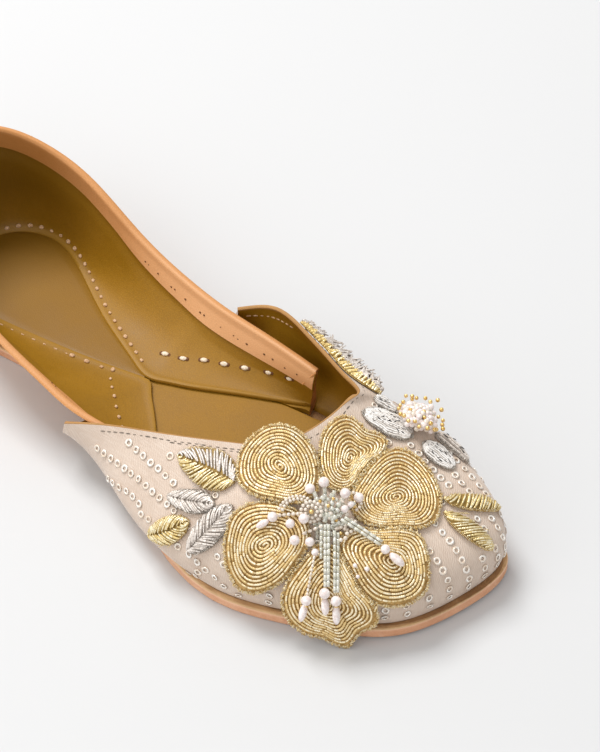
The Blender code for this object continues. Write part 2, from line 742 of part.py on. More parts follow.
def dropLoops(tree, row, around):
    """A strand and its pearls, laid over what is already on the vamp."""
    u0, v0, u1, v1 = row
    start = np.array((u0, v0))
    end = np.array((u1, v1))
    along = (end - start) / np.linalg.norm(end - start)
    side = np.array((-along[1], along[0]))
    shares, radii = np.array(DROP_RINGS).T
    places = np.linspace(0.0, 1.0, DROP_STEPS)
    levels = []
    for share, radius in zip(places, np.interp(places, shares, radii)):
        middle = start + (end - start) * share
        heights = [levelOver(tree, *(middle + side * offset)) for offset in (-radius, 0.0, radius)]
        levels.append(max(heights) + radius + OVERLAY_GAP)
    levels = np.array(levels)
    line = levels[0] + (levels[-1] - levels[0]) * places
    line += np.max(levels - line)
    line = np.interp(shares, places, line)
    loops = []
    for (share, radius), level in zip(DROP_RINGS, line):
        middle = start + (end - start) * share
        ring = []
        for k in range(around):
            a = 2.0 * math.pi * k / around
            offset = middle + side * radius * math.cos(a)
            ring.append(flowerPoint(offset[0], offset[1], level + radius * math.sin(a)))
        loops.append(ring)
    return loops


def vampPoint(angle, share):
    """Point of the vamp's outer face; share 0 is on the sole, 1 on the edge of the throat."""
    rib = vampRib(math.radians(angle), RIB_STEPS)
    place = np.linspace(0.0, 1.0, RIB_STEPS)
    return np.array([np.interp(share, place, rib[:, axis]) for axis in range(3)])


def leafLoops(tree, row, count):
    """Pointed pad on the vamp, with a ridge along its middle."""
    baseAngle, baseShare, tipAngle, tipShare, halfWidth, thickness = row
    shares = np.linspace(0.0, 1.0, count)
    angles = baseAngle + (tipAngle - baseAngle) * shares
    heights = baseShare + (tipShare - baseShare) * shares
    middles = np.array([vampPoint(*place) for place in zip(angles, heights)])
    runs = np.gradient(middles, axis=0)
    loops = []
    for t, middle, run in zip(shares, middles, runs):
        _, facing, _, _ = tree.find_nearest(Vector(middle))
        normal = outwardNormal(np.array(facing), middle)
        side = np.cross(normal, run)
        side /= np.linalg.norm(side)
        turn = LEAF_END + (1.0 - 2.0 * LEAF_END) * t**LEAF_SKEW
        full = math.sin(math.pi * turn) ** LEAF_FULLNESS
        height = thickness * (LEAF_LOW + (1.0 - LEAF_LOW) * full)
        points = []
        for offset, rise in LEAF_SECTION:
            place, face, _, _ = tree.find_nearest(Vector(middle + side * offset * halfWidth * full))
            local = outwardNormal(np.array(face), np.array(place))
            points.append(np.array(place) + local * OVERLAY_GAP + normal * rise * height)
        loops.append(points)
    return loops


def outwardNormal(facing, place):
    away = np.array(place) - np.array(VAMP_INSIDE)
    return facing if facing @ away > 0.0 else -facing


def domeLoops(tree, row, around):
    angle, share, radius, height = row
    middle = vampPoint(angle, share)
    _, facing, _, _ = tree.find_nearest(Vector(middle))
    normal = outwardNormal(np.array(facing), middle)
    side = np.cross(normal, (0.0, 0.0, 1.0))
    side /= np.linalg.norm(side)
    up = np.cross(normal, side)
    lift = OVERLAY_GAP + DOME_LIFT
    loops = [[middle + normal * lift] * around]
    for reach, rise in DOME_RINGS:
        loops.append(
            [
                middle + normal * (lift + rise * height)
                + (side * math.cos(a) + up * math.sin(a)) * reach * radius
                for a in np.arange(around) * 2.0 * math.pi / around
            ]
        )
    loops.append([middle + normal * (lift + height)] * around)
    return loops


def loopsTree(allLoops):
    points = []
    faces = []
    for loops in allLoops:
        loops = np.asarray(loops, float)
        rows, around = loops.shape[:2]
        first = len(points)
        points += list(loops.reshape(-1, 3))
        for i in range(rows - 1):
            for j in range(around):
                k = (j + 1) % around
                a = first + i * around
                faces.append((a + j, a + around + j, a + around + k, a + k))
    return surfaceTree(points, faces)


def clearScene():
    for piece in list(bpy.data.objects):
        bpy.data.objects.remove(piece, do_unlink=True)


def buildUpper(shoe):
    tanLeather = newMaterial("tan_leather", (0.42, 0.24, 0.08), 0.45)
    rawSilk = newMaterial("raw_silk", (0.68, 0.58, 0.52), 0.75)
    addPiece("insole", meshFromLoops("insole", insoleLoops()), tanLeather, shoe)
    addPiece("heel_sock", meshFromLoops("heel_sock", sockLoops(SOCK_STATIONS)), tanLeather, shoe)
    addPiece("quarter", meshFromLoops("quarter", quarterLoops(*QUARTER_MESH)), tanLeather, shoe)
    addPiece("vamp", meshFromLoops("vamp", vampLoops(*VAMP_MESH)), rawSilk, shoe)


def buildOrnament(shoe):
    goldCord = newMaterial("gold_cord", (0.72, 0.52, 0.20), 0.35, 0.7)
    silverCord = newMaterial("silver_cord", (0.70, 0.68, 0.64), 0.4, 0.6)
    pearl = newMaterial("pearl", (0.86, 0.81, 0.77), 0.25)
    vampTree = gridTree(vampGrid(*VAMP_DENSE))
    soleTree = loopsTree([soleLoops()])
    flower = []
    for name, row in PETALS.items():
        loops = petalLoops(vampTree, soleTree, row, PETAL_SIDES)
        flower.append(loops)
        addPiece(name, meshFromLoops(name, loops, False), goldCord, shoe)
    heart = heartLoops(vampTree, loopsTree(flower), HEART_SIDES)
    addPiece("flower_heart", meshFromLoops("flower_heart", heart, False), pearl, shoe)
    flowerTree = loopsTree(flower + [heart, vampLoops(*VAMP_MESH)])
    for name, row in PEARL_DROPS.items():
        addPiece(name, meshFromLoops(name, dropLoops(flowerTree, row, DROP_SIDES)), pearl, shoe)
    for name, row in LEAVES.items():
        cord = silverCord if name in SILVER_LEAVES else goldCord
        addPiece(name, meshFromLoops(name, leafLoops(vampTree, row, LEAF_STATIONS)), cord, shoe)
    for name, row in SIDE_PETALS.items():
        addPiece(name, meshFromLoops(name, leafLoops(vampTree, row, LEAF_STATIONS)), silverCord, shoe)
    dome = domeLoops(vampTree, SIDE_HEART, DOME_SIDES)
    addPiece("side_heart", meshFromLoops("side_heart", dome, False), pearl, shoe)


def buildShoe():
    clearScene()
    shoe = bpy.data.collections.new("mojari_shoe")
    bpy.context.scene.collection.children.link(shoe)
    soleLeather = newMaterial("sole_leather", (0.60, 0.33, 0.16), 0.6)
    addPiece("outsole", meshFromLoops("outsole", soleLoops()), soleLeather, shoe)
    buildUpper(shoe)
    buildOrnament(shoe)


buildShoe()
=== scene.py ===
# Looks of the right mojari shoe: tan leather, raw silk, laid gold cord, wire leaves, pearls and ring sequins.
# Lengths in the tables are millimetres with x measured from the heel's back; meshes are in metres in the part's frame.

import math

import bmesh
import bpy
import numpy as np
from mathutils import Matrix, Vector
from mathutils.bvhtree import BVHTree


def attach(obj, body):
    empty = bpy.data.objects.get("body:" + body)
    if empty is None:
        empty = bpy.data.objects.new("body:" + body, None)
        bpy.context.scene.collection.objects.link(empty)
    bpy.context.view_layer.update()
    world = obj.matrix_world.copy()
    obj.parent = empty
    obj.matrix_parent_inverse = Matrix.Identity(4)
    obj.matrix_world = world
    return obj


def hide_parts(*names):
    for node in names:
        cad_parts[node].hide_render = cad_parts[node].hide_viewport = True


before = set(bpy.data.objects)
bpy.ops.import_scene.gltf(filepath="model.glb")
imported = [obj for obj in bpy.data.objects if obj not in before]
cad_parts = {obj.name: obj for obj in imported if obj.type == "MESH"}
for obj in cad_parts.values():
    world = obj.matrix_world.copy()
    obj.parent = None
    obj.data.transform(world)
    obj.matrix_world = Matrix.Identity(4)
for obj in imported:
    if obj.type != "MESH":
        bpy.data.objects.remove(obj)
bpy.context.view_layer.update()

mm = 0.001
gap = 0.3
turn = 2.0 * math.pi
body = "root"


# Camera and room

camera = {
    "azimuth": 48.0,
    "elevation": 47.0,
    "place": (516.7, -393.5, 708.0),
    "lens": 165.8,
    "sensor": 36.0,
}


def backDirection(azimuth, elevation):
    a = math.radians(azimuth)
    e = math.radians(elevation)
    return Vector((math.sin(a) * math.cos(e), -math.cos(a) * math.cos(e), math.sin(e)))


def makeCamera(settings):
    data = bpy.data.cameras.new("photoCamera")
    data.lens = settings["lens"]
    data.sensor_width = settings["sensor"]
    data.sensor_fit = "HORIZONTAL"
    eye = bpy.data.objects.new("photoCamera", data)
    bpy.context.scene.collection.objects.link(eye)
    eye.location = Vector(settings["place"]) * mm
    eye.rotation_mode = "QUATERNION"
    back = backDirection(settings["azimuth"], settings["elevation"])
    eye.rotation_quaternion = (-back).to_track_quat("-Z", "Y")
    bpy.context.scene.camera = eye


makeCamera(camera)
print("camera made")


# Sizes that the scene shares with the solids

sole = {
    "length": 240.0,
    "ballWidth": 87.0,
    "treadX": 100.0,
    "thickness": 4.5,
    "bevel": 0.9,
    "ballStation": 0.72,
    "toeSpring": 1.5,
    "toeMargin": 2.2,
    "waistMargin": 1.2,
    "tips": (0.02, 0.31),
    "rows": (  # station, lateral and medial half widths as shares of the ball width
        (0.025, 0.205, 0.240),
        (0.083, 0.300, 0.342),
        (0.150, 0.305, 0.358),
        (0.230, 0.255, 0.330),
        (0.320, 0.212, 0.282),
        (0.390, 0.215, 0.268),
        (0.460, 0.255, 0.316),
        (0.530, 0.325, 0.396),
        (0.600, 0.412, 0.463),
        (0.680, 0.468, 0.504),
        (0.767, 0.452, 0.528),
        (0.850, 0.340, 0.535),
        (0.933, 0.180, 0.523),
        (0.983, -0.010, 0.472),
    ),
}
vamp = {
    "wall": 2.0,
    "edge": 1.3,
    "ribs": (  # side, station, top x, y, z, out, rise, reach, drop
        (-1, 0.410, 104.0, -38.0, 21.2, 16.0, 3.0, 2.0, 8.0),
        (-1, 0.500, 121.0, -31.0, 28.8, 17.0, 3.0, 9.0, 12.0),
        (-1, 0.583, 139.0, -23.5, 34.3, 16.0, 4.0, 17.0, 13.0),
        (-1, 0.667, 157.0, -14.5, 39.0, 12.0, 6.0, 22.0, 14.0),
        (-1, 0.767, 170.0, -7.5, 42.2, 6.5, 12.0, 25.0, 12.0),
        (-1, 0.850, 174.5, -4.0, 43.0, 4.5, 15.0, 28.0, 14.0),
        (-1, 0.933, 175.5, 2.0, 43.3, 4.0, 18.0, 35.0, 17.0),
        (-1, 0.983, 176.0, 8.0, 43.5, 4.0, 20.0, 40.0, 19.0),
        (1, 1.000, 176.0, 14.0, 43.5, 5.0, 21.0, 43.0, 19.0),
        (1, 0.983, 175.5, 20.0, 43.5, 6.5, 20.0, 41.0, 18.0),
        (1, 0.933, 175.0, 26.5, 43.5, 5.5, 17.0, 31.0, 17.0),
        (1, 0.850, 173.0, 32.0, 43.0, 4.0, 13.0, 20.0, 15.0),
        (1, 0.767, 163.0, 35.0, 40.3, 5.0, 10.0, 11.0, 13.0),
        (1, 0.667, 149.0, 39.0, 37.2, 8.0, 8.0, 8.0, 13.0),
        (1, 0.583, 135.0, 42.8, 34.0, 11.0, 6.0, 7.0, 12.0),
        (1, 0.500, 120.0, 46.0, 30.0, 13.0, 4.0, 4.0, 12.0),
        (1, 0.445, 110.0, 44.5, 26.0, 13.0, 3.0, 2.0, 10.0),
        (1, 0.410, 104.0, 39.0, 24.0, 13.0, 3.0, 2.0, 8.0),
    ),
}
quarter = {
    "wall": 2.2,
    "bandWidth": 7.2,
    "bandStep": 0.7,
    "footThickness": 1.1,
    "wingEnd": 144.0,
    "endWall": 0.9,
    "lapInset": 3.0,
    "rimTip": (-6.0, 54.0),
    "rim": (  # x, lateral, medial, z
        (1.0, 18.0, 18.0, 51.8),
        (17.0, 27.5, 28.0, 46.7),
        (34.0, 33.0, 32.0, 41.2),
        (61.0, 36.0, 33.0, 31.4),
        (90.0, 35.5, 34.0, 26.5),
        (104.0, 34.8, 35.5, 25.0),
        (118.0, 31.5, 38.0, 23.8),
        (144.0, 27.0, 40.8, 23.2),
    ),
    "footTip": (4.5,),
    "foot": (  # x, lateral, medial
        (8.0, 13.0, 14.0),
        (15.0, 19.0, 20.5),
        (24.0, 20.5, 23.0),
        (40.0, 17.0, 19.5),
        (64.0, 9.5, 11.0),
        (88.0, 0.5, 5.0),
        (96.5, -2.9, 4.0),
        (98.5, -3.2, 4.6),
        (102.0, -0.8, 6.8),
        (108.0, 3.4, 10.6),
        (120.0, 11.8, 19.6),
        (132.0, 20.3, 28.4),
        (144.0, 28.5, 37.0),
    ),
}
upperBase = sole["thickness"] + gap
insoleTop = upperBase + 1.8
footTop = insoleTop + gap + quarter["footThickness"]


# Curves and surfaces

def splineValues(knots, values, at):
    knots = np.asarray(knots, float)
    values = np.asarray(values, float)
    count = len(knots)
    step = np.diff(knots)
    slope = np.diff(values, axis=0) / step[:, None]
    system = np.eye(count)
    right = np.zeros_like(values)
    for i in range(1, count - 1):
        system[i, i - 1] = step[i - 1]
        system[i, i] = 2.0 * (step[i - 1] + step[i])
        system[i, i + 1] = step[i]
        right[i] = 6.0 * (slope[i] - slope[i - 1])
    bend = np.linalg.solve(system, right)
    at = np.atleast_1d(np.asarray(at, float))
    i = np.clip(np.searchsorted(knots, at) - 1, 0, count - 2)
    h = step[i][:, None]
    a = ((knots[i + 1] - at) / step[i])[:, None]
    b = 1.0 - a
    return a * values[i] + b * values[i + 1] + ((a**3 - a) * bend[i] + (b**3 - b) * bend[i + 1]) * h * h / 6.0


def bezier(p0, p1, p2, p3, count):
    t = np.linspace(0.0, 1.0, count)[:, None]
    return (1 - t) ** 3 * p0 + 3 * (1 - t) ** 2 * t * p1 + 3 * (1 - t) * t**2 * p2 + t**3 * p3


def smoothStep(value, low, high):
    share = np.clip((value - low) / (high - low), 0.0, 1.0)
    return share * share * (3.0 - 2.0 * share)


def unit(vector):
    return vector / np.maximum(np.linalg.norm(vector, axis=-1, keepdims=True), 1e-12)


def stationAngle(station):
    return math.acos(1.0 - 2.0 * station)


def outlineKnots():
    rows = [(0.0, sole["tips"][0])]
    rows += [(stationAngle(s), medial) for s, lateral, medial in sole["rows"]]
    rows += [(math.pi, sole["tips"][1])]
    rows += [(turn - stationAngle(s), -lateral) for s, lateral, medial in reversed(sole["rows"])]
    angles, shares = np.array(rows).T
    return np.concatenate((angles - turn, angles, angles + turn)), np.tile(shares, 3)


outlineAngles, outlineShares = outlineKnots()


def outlinePoint(angle, inset=0.0):
    angle = np.atleast_1d(np.asarray(angle, float))

    def raw(at):
        y = sole["ballWidth"] * splineValues(outlineAngles, outlineShares[:, None], at)[:, 0]
        return np.stack((0.5 * sole["length"] * (1.0 - np.cos(at)), y), axis=1)

    nudge = 0.01
    along = unit(raw(angle + nudge) - raw(angle - nudge))
    outward = np.stack((-along[:, 1], along[:, 0]), axis=1)
    return raw(angle) - outward * np.reshape(inset, (-1, 1)), outward


def springHeight(x):
    start = sole["ballStation"] * sole["length"]
    share = np.clip((np.asarray(x, float) - start) / (sole["length"] - start), 0.0, None)
    return sole["toeSpring"] * share**2


def sideLine(tip, rows):
    span = quarter["wingEnd"] - tip[0]
    knots = [(0.0, 0.0, *tip[1:])]
    for row in rows:
        share = (row[0] - tip[0]) / span * quarter["wingEnd"] / sole["length"]
        knots.append((stationAngle(share), row[2], *row[3:]))
        knots.append((-stationAngle(share), -row[1], *row[3:]))
    knots = np.array(sorted(knots))
    return knots[:, 0], knots[:, 1:]


rimAngles, rimValues = sideLine(quarter["rimTip"], quarter["rim"])
footAngles, footValues = sideLine(quarter["footTip"], quarter["foot"])
vampAngles = np.array([row[0] * (math.pi - stationAngle(row[1])) for row in vamp["ribs"]])
vampValues = np.array([row[2:] for row in vamp["ribs"]])


def vampMargin(x):
    waist, toe = sole["waistMargin"], sole["toeMargin"]
    return waist + (toe - waist) * smoothStep(x, 150.0, 205.0)


def vampRib(angle, count):
    place = math.pi - angle
    point, outward = outlinePoint(place)
    foot, outward = outlinePoint(place, vampMargin(point[0, 0]))
    x, y, z, out, rise, reach, drop = splineValues(vampAngles, vampValues, angle)[0]
    side = np.array((outward[0, 0], outward[0, 1], 0.0))
    p0 = np.array((foot[0, 0], foot[0, 1], upperBase + float(springHeight(foot[0, 0]))))
    p3 = np.array((x, y, z))
    p1 = p0 + side * out + np.array((0.0, 0.0, rise))
    p2 = p3 + side * reach - np.array((0.0, 0.0, drop))
    return bezier(p0, p1, p2, p3, count)


def vampGrid(across, up):
    return np.array([vampRib(angle, up) for angle in np.linspace(vampAngles[0], vampAngles[-1], across)])


def gridNormals(grid):
    return unit(np.cross(np.gradient(grid, axis=0), np.gradient(grid, axis=1)))


def gridFaces(rows, columns, wrap=False):
    i, j = np.meshgrid(np.arange(rows - 1), np.arange(columns if wrap else columns - 1), indexing="ij")
    k = (j + 1) % columns
    quads = np.stack((i * columns + j, (i + 1) * columns + j, (i + 1) * columns + k, i * columns + k), axis=-1)
    return quads.reshape(-1, 4)


def surfaceTree(points, faces):
    return BVHTree.FromPolygons([Vector(point) for point in points], [tuple(map(int, face)) for face in faces])


def gridTree(grid):
    return surfaceTree(grid.reshape(-1, 3), gridFaces(*grid.shape[:2]))


def steadyCurve(points, step):
    points = np.asarray(points, float)
    run = np.concatenate(((0.0,), np.cumsum(np.linalg.norm(np.diff(points, axis=0), axis=1))))
    count = max(2, int(round(run[-1] / step)) + 1)
    at = np.linspace(0.0, run[-1], count)
    return np.stack([np.interp(at, run, points[:, axis]) for axis in range(3)], axis=1)


# Node helpers

def tint(code):
    channels = [int(code[i : i + 2], 16) / 255.0 for i in (1, 3, 5)]
    return tuple(c / 12.92 if c <= 0.04045 else ((c + 0.055) / 1.055) ** 2.4 for c in channels) + (1.0,)


def addNode(tree, kind, inputs=None, **settings):
    node = tree.nodes.new(kind)
    for name, value in settings.items():
        setattr(node, name, value)
    for key, value in (inputs or {}).items():
        if isinstance(value, bpy.types.NodeSocket):
            tree.links.new(value, node.inputs[key])
        else:
            node.inputs[key].default_value = value
    return node


def calc(tree, operation, *values):
    return addNode(tree, "ShaderNodeMath", dict(enumerate(values)), operation=operation).outputs[0]


def fade(tree, value, low, high):
    inputs = {"Value": value, "From Min": low, "From Max": high}
    return addNode(tree, "ShaderNodeMapRange", inputs, interpolation_type="SMOOTHSTEP").outputs["Result"]


def mixColour(tree, factor, first, second, mode="MIX"):
    inputs = {0: factor, 6: first, 7: second}
    return addNode(tree, "ShaderNodeMix", inputs, data_type="RGBA", blend_type=mode).outputs[2]


def noiseOf(tree, vector, scale, detail=3.0, roughness=0.55):
    inputs = {"Vector": vector, "Scale": scale, "Detail": detail, "Roughness": roughness}
    return addNode(tree, "ShaderNodeTexNoise", inputs).outputs["Fac"]


def stretched(tree, vector, scale):
    return addNode(tree, "ShaderNodeMapping", {"Vector": vector, "Scale": scale}).outputs["Vector"]


def objectPlace(tree):
    return addNode(tree, "ShaderNodeTexCoord").outputs["Object"]


def uvPlace(tree):
    return addNode(tree, "ShaderNodeUVMap", uv_map="UVMap").outputs["UV"]


def newGroup(name, inputs, outputs):
    tree = bpy.data.node_groups.new(name, "ShaderNodeTree")
    for label, value in inputs.items():
        socket = tree.interface.new_socket(label, in_out="INPUT", socket_type="NodeSocketFloat")
        socket.default_value = value
    for label in outputs:
        tree.interface.new_socket(label, in_out="OUTPUT", socket_type="NodeSocketFloat")
    return tree, tree.nodes.new("NodeGroupInput").outputs, tree.nodes.new("NodeGroupOutput").inputs


def makeGrain():
    tree, given, out = newGroup(
        "leatherGrain",
        {"Pebbles": 900.0, "Mottle": 45.0, "Fibres": 2600.0},
        ("Height", "Mottle", "Pores"),
    )
    place = objectPlace(tree)
    cells = addNode(
        tree, "ShaderNodeTexVoronoi", {"Vector": place, "Scale": given["Pebbles"]}, feature="DISTANCE_TO_EDGE"
    ).outputs["Distance"]
    pebble = fade(tree, cells, 0.0, 0.35)
    fibre = noiseOf(tree, place, given["Fibres"], 2.0)
    height = calc(tree, "ADD", calc(tree, "MULTIPLY", pebble, 0.7), calc(tree, "MULTIPLY", fibre, 0.5))
    tree.links.new(height, out["Height"])
    tree.links.new(noiseOf(tree, place, given["Mottle"], 5.0, 0.6), out["Mottle"])
    tree.links.new(calc(tree, "SUBTRACT", 1.0, fade(tree, cells, 0.02, 0.16)), out["Pores"])
    return tree


def makeWeave():
    tree, given, out = newGroup(
        "silkWeave", {"Twill": 0.95, "Thread": 0.42, "Slub": 1.0}, ("Height", "Lines", "Slubs", "Shade")
    )
    place = uvPlace(tree)
    wobble = calc(tree, "MULTIPLY", calc(tree, "SUBTRACT", noiseOf(tree, place, 0.35, 2.0), 0.5), 2.2)
    axes = addNode(tree, "ShaderNodeSeparateXYZ", {0: place})
    u, v = axes.outputs[0], axes.outputs[1]
    diagonal = calc(tree, "ADD", calc(tree, "ADD", u, v), wobble)
    lines = calc(tree, "SINE", calc(tree, "DIVIDE", calc(tree, "MULTIPLY", diagonal, turn), given["Twill"]))
    warp = calc(tree, "SINE", calc(tree, "DIVIDE", calc(tree, "MULTIPLY", u, turn), given["Thread"]))
    weft = calc(tree, "SINE", calc(tree, "DIVIDE", calc(tree, "MULTIPLY", v, turn), given["Thread"]))
    cross = calc(tree, "MULTIPLY", warp, weft)
    slubs = noiseOf(tree, stretched(tree, place, (0.16, 2.6, 1.0)), 1.0, 2.0)
    slubs = calc(tree, "MULTIPLY", fade(tree, slubs, 0.42, 0.72), given["Slub"])
    height = calc(tree, "ADD", calc(tree, "MULTIPLY", lines, 0.5), calc(tree, "MULTIPLY", cross, 0.35))
    tree.links.new(calc(tree, "ADD", height, calc(tree, "MULTIPLY", slubs, 0.35)), out["Height"])
    tree.links.new(fade(tree, lines, -0.8, 0.9), out["Lines"])
    tree.links.new(slubs, out["Slubs"])
    tree.links.new(noiseOf(tree, place, 0.06, 4.0, 0.6), out["Shade"])
    return tree


def makeTwist():
    tree, given, out = newGroup(
        "cordTwist", {"Segment": 2.4, "Twist": 0.55, "Tick": 0.10}, ("Height", "Ticks", "Glint", "TopHighlight")
    )
    axes = addNode(tree, "ShaderNodeSeparateXYZ", {0: uvPlace(tree)})
    run, around = axes.outputs[0], axes.outputs[1]
    wobble = calc(tree, "MULTIPLY", noiseOf(tree, stretched(tree, uvPlace(tree), (1.0, 0.0, 0.0)), 0.45, 1.0), 2.2)
    place = calc(tree, "ADD", calc(tree, "DIVIDE", run, given["Segment"]), wobble)
    number = addNode(tree, "ShaderNodeTexWhiteNoise", {"W": calc(tree, "FLOOR", place)}, noise_dimensions="1D")
    part = calc(tree, "FRACT", place)
    near = calc(tree, "MINIMUM", part, calc(tree, "SUBTRACT", 1.0, part))
    ticks = calc(tree, "SUBTRACT", 1.0, fade(tree, near, 0.0, given["Tick"]))
    phase = calc(tree, "ADD", calc(tree, "DIVIDE", run, given["Twist"]), around)
    twist = calc(tree, "SINE", calc(tree, "MULTIPLY", phase, turn))
    tree.links.new(calc(tree, "SUBTRACT", calc(tree, "MULTIPLY", twist, 0.4), ticks), out["Height"])
    tree.links.new(ticks, out["Ticks"])
    tree.links.new(number.outputs["Value"], out["Glint"])
    # painted highlight: a bright line along the top of each cord, around v = 0.25
    aside = calc(tree, "ABSOLUTE", calc(tree, "SUBTRACT", around, 0.25))
    tree.links.new(calc(tree, "SUBTRACT", 1.0, fade(tree, aside, 0.03, 0.17)), out["TopHighlight"])
    return tree


def makeScuff():
    tree, given, out = newGroup("scuffDust", {"Size": 30.0, "Amount": 0.5}, ("Scuffs", "Dust"))
    place = objectPlace(tree)
    streaks = noiseOf(tree, stretched(tree, place, (0.35, 1.6, 1.0)), calc(tree, "MULTIPLY", given["Size"], 9.0), 5.0)
    scuffs = calc(tree, "MULTIPLY", fade(tree, streaks, 0.56, 0.72), given["Amount"])
    dust = fade(tree, noiseOf(tree, place, given["Size"], 6.0, 0.65), 0.45, 0.75)
    tree.links.new(scuffs, out["Scuffs"])
    tree.links.new(calc(tree, "MULTIPLY", dust, given["Amount"]), out["Dust"])
    return tree


groups = {"grain": makeGrain(), "weave": makeWeave(), "twist": makeTwist(), "scuff": makeScuff()}


def useGroup(tree, name, values):
    node = tree.nodes.new("ShaderNodeGroup")
    node.node_tree = groups[name]
    for label, value in values.items():
        node.inputs[label].default_value = value
    return node.outputs


def newMaterial(name, constants):
    material = bpy.data.materials.new(name)
    material.use_nodes = True
    tree = material.node_tree
    shader = tree.nodes["Principled BSDF"]
    for label, value in constants.items():
        shader.inputs[label].default_value = value
    return material, tree, shader


def addBump(tree, shader, height, strength, distance):
    inputs = {"Height": height, "Strength": strength, "Distance": distance * mm}
    bump = addNode(tree, "ShaderNodeBump", inputs)
    tree.links.new(bump.outputs["Normal"], shader.inputs["Normal"])


def attributeOf(tree, name):
    return addNode(tree, "ShaderNodeAttribute", attribute_name=name).outputs["Fac"]


# Leathers: tones are deep, main and light; worn places, painted light and painted highlights take the light tone,
# painted shade takes the deep tone

leathers = {
    "liningLeather": {
        "tones": ("#5A3C02", "#9A6E12", "#B28632"), "pebbles": 1500.0, "depth": 0.05, "roughness": (0.44, 0.58),
        "coat": 0.0, "scuff": 0.2, "patchy": 0.16,
    },
    "rimLeather": {
        "tones": ("#8E5714", "#E4A46A", "#F0BC8C"), "pebbles": 1500.0, "depth": 0.06, "roughness": (0.42, 0.56),
        "coat": 0.05, "scuff": 0.25, "patchy": 0.12,
    },
    "outerLeather": {
        "tones": ("#B0713A", "#D2945A", "#E4B082"), "pebbles": 1200.0, "depth": 0.08, "roughness": (0.42, 0.60),
        "coat": 0.05, "scuff": 0.4, "patchy": 0.35,
    },
    "edgeLeather": {
        "tones": ("#8A5F2E", "#B0824A", "#C89E6C"), "pebbles": 1700.0, "depth": 0.12, "roughness": (0.55, 0.75),
        "coat": 0.0, "scuff": 0.4, "patchy": 0.6,
    },
    "soleSideLeather": {
        "tones": ("#C08058", "#ECB38C", "#F8D2B2"), "pebbles": 1600.0, "depth": 0.16, "roughness": (0.50, 0.72),
        "coat": 0.04, "scuff": 0.8, "patchy": 0.7,
    },
    "randLeather": {
        "tones": ("#84552C", "#D6A26A", "#F4D2A4"), "pebbles": 2200.0, "depth": 0.34, "roughness": (0.62, 0.84),
        "coat": 0.0, "scuff": 0.9, "patchy": 1.0,
    },
    "treadLeather": {
        "tones": ("#A06A3C", "#C58F5E", "#DBB086"), "pebbles": 700.0, "depth": 0.16, "roughness": (0.50, 0.74),
        "coat": 0.0, "scuff": 1.0, "patchy": 1.0,
    },
    "insoleLeather": {
        "tones": ("#6A4806", "#9C7018", "#B28734"), "pebbles": 1500.0, "depth": 0.05, "roughness": (0.44, 0.58),
        "coat": 0.0, "scuff": 0.2, "patchy": 0.16,
    },
}


def makeLeather(name, row):
    deep, main, light = [tint(code) for code in row["tones"]]
    material, tree, shader = newMaterial(
        name, {"Specular IOR Level": 0.32, "Coat Weight": row["coat"], "Coat Roughness": 0.4}
    )
    grain = useGroup(tree, "grain", {"Pebbles": row["pebbles"]})
    scuff = useGroup(tree, "scuff", {"Amount": row["scuff"]})
    patchy = row["patchy"]
    colour = mixColour(tree, calc(tree, "MULTIPLY", calc(tree, "SUBTRACT", 1.0, fade(tree, grain["Mottle"], 0.28, 0.62)), patchy), main, deep)
    colour = mixColour(tree, calc(tree, "MULTIPLY", fade(tree, grain["Mottle"], 0.50, 0.80), patchy), colour, light)
    colour = mixColour(tree, calc(tree, "MULTIPLY", grain["Pores"], 0.22), colour, deep)
    colour = mixColour(tree, calc(tree, "MULTIPLY", scuff["Scuffs"], 0.35), colour, light)
    # real wear on some parts, painted light and painted highlight on others, mixed towards the light tone
    colour = mixColour(tree, calc(tree, "MULTIPLY", attributeOf(tree, "wearAndPaintedLight"), 0.55), colour, light)
    # painted shade mixed towards the deep tone; on the sock it also carries a darker tone overall
    colour = mixColour(tree, calc(tree, "MULTIPLY", attributeOf(tree, "shade"), 0.75), colour, deep)
    tree.links.new(colour, shader.inputs["Base Color"])
    low, high = row["roughness"]
    rough = addNode(
        tree, "ShaderNodeMapRange", {"Value": grain["Mottle"], "From Min": 0.3, "From Max": 0.7, "To Min": low, "To Max": high}
    ).outputs["Result"]
    tree.links.new(calc(tree, "ADD", rough, calc(tree, "MULTIPLY", scuff["Scuffs"], 0.15)), shader.inputs["Roughness"])
    height = calc(tree, "SUBTRACT", grain["Height"], calc(tree, "MULTIPLY", scuff["Scuffs"], 0.6))
    addBump(tree, shader, height, 0.55, row["depth"])
    return material


# Cloth, cords and beads

silk = {"tones": ("#C4AD9A", "#DDCAB9", "#ECDED1"), "line": "#C0A894", "twill": 0.95, "thread": 0.42}


def makeSilk(name, row):
    material, tree, shader = newMaterial(
        name, {"Sheen Weight": 0.35, "Sheen Roughness": 0.35, "Specular IOR Level": 0.35, "Anisotropic": 0.3}
    )
    weave = useGroup(tree, "weave", {"Twill": row["twill"], "Thread": row["thread"]})
    deep, main, light = [tint(code) for code in row["tones"]]
    colour = mixColour(tree, fade(tree, weave["Shade"], 0.3, 0.7), deep, main)
    colour = mixColour(tree, 0.62, colour, main)
    colour = mixColour(tree, calc(tree, "MULTIPLY", calc(tree, "SUBTRACT", 1.0, weave["Lines"]), 0.45), colour, tint(row["line"]))
    colour = mixColour(tree, calc(tree, "MULTIPLY", weave["Slubs"], 0.30), colour, light)
    tree.links.new(colour, shader.inputs["Base Color"])
    rough = calc(tree, "ADD", 0.52, calc(tree, "MULTIPLY", weave["Slubs"], 0.16))
    tree.links.new(rough, shader.inputs["Roughness"])
    addBump(tree, shader, weave["Height"], 0.5, 0.10)
    return material


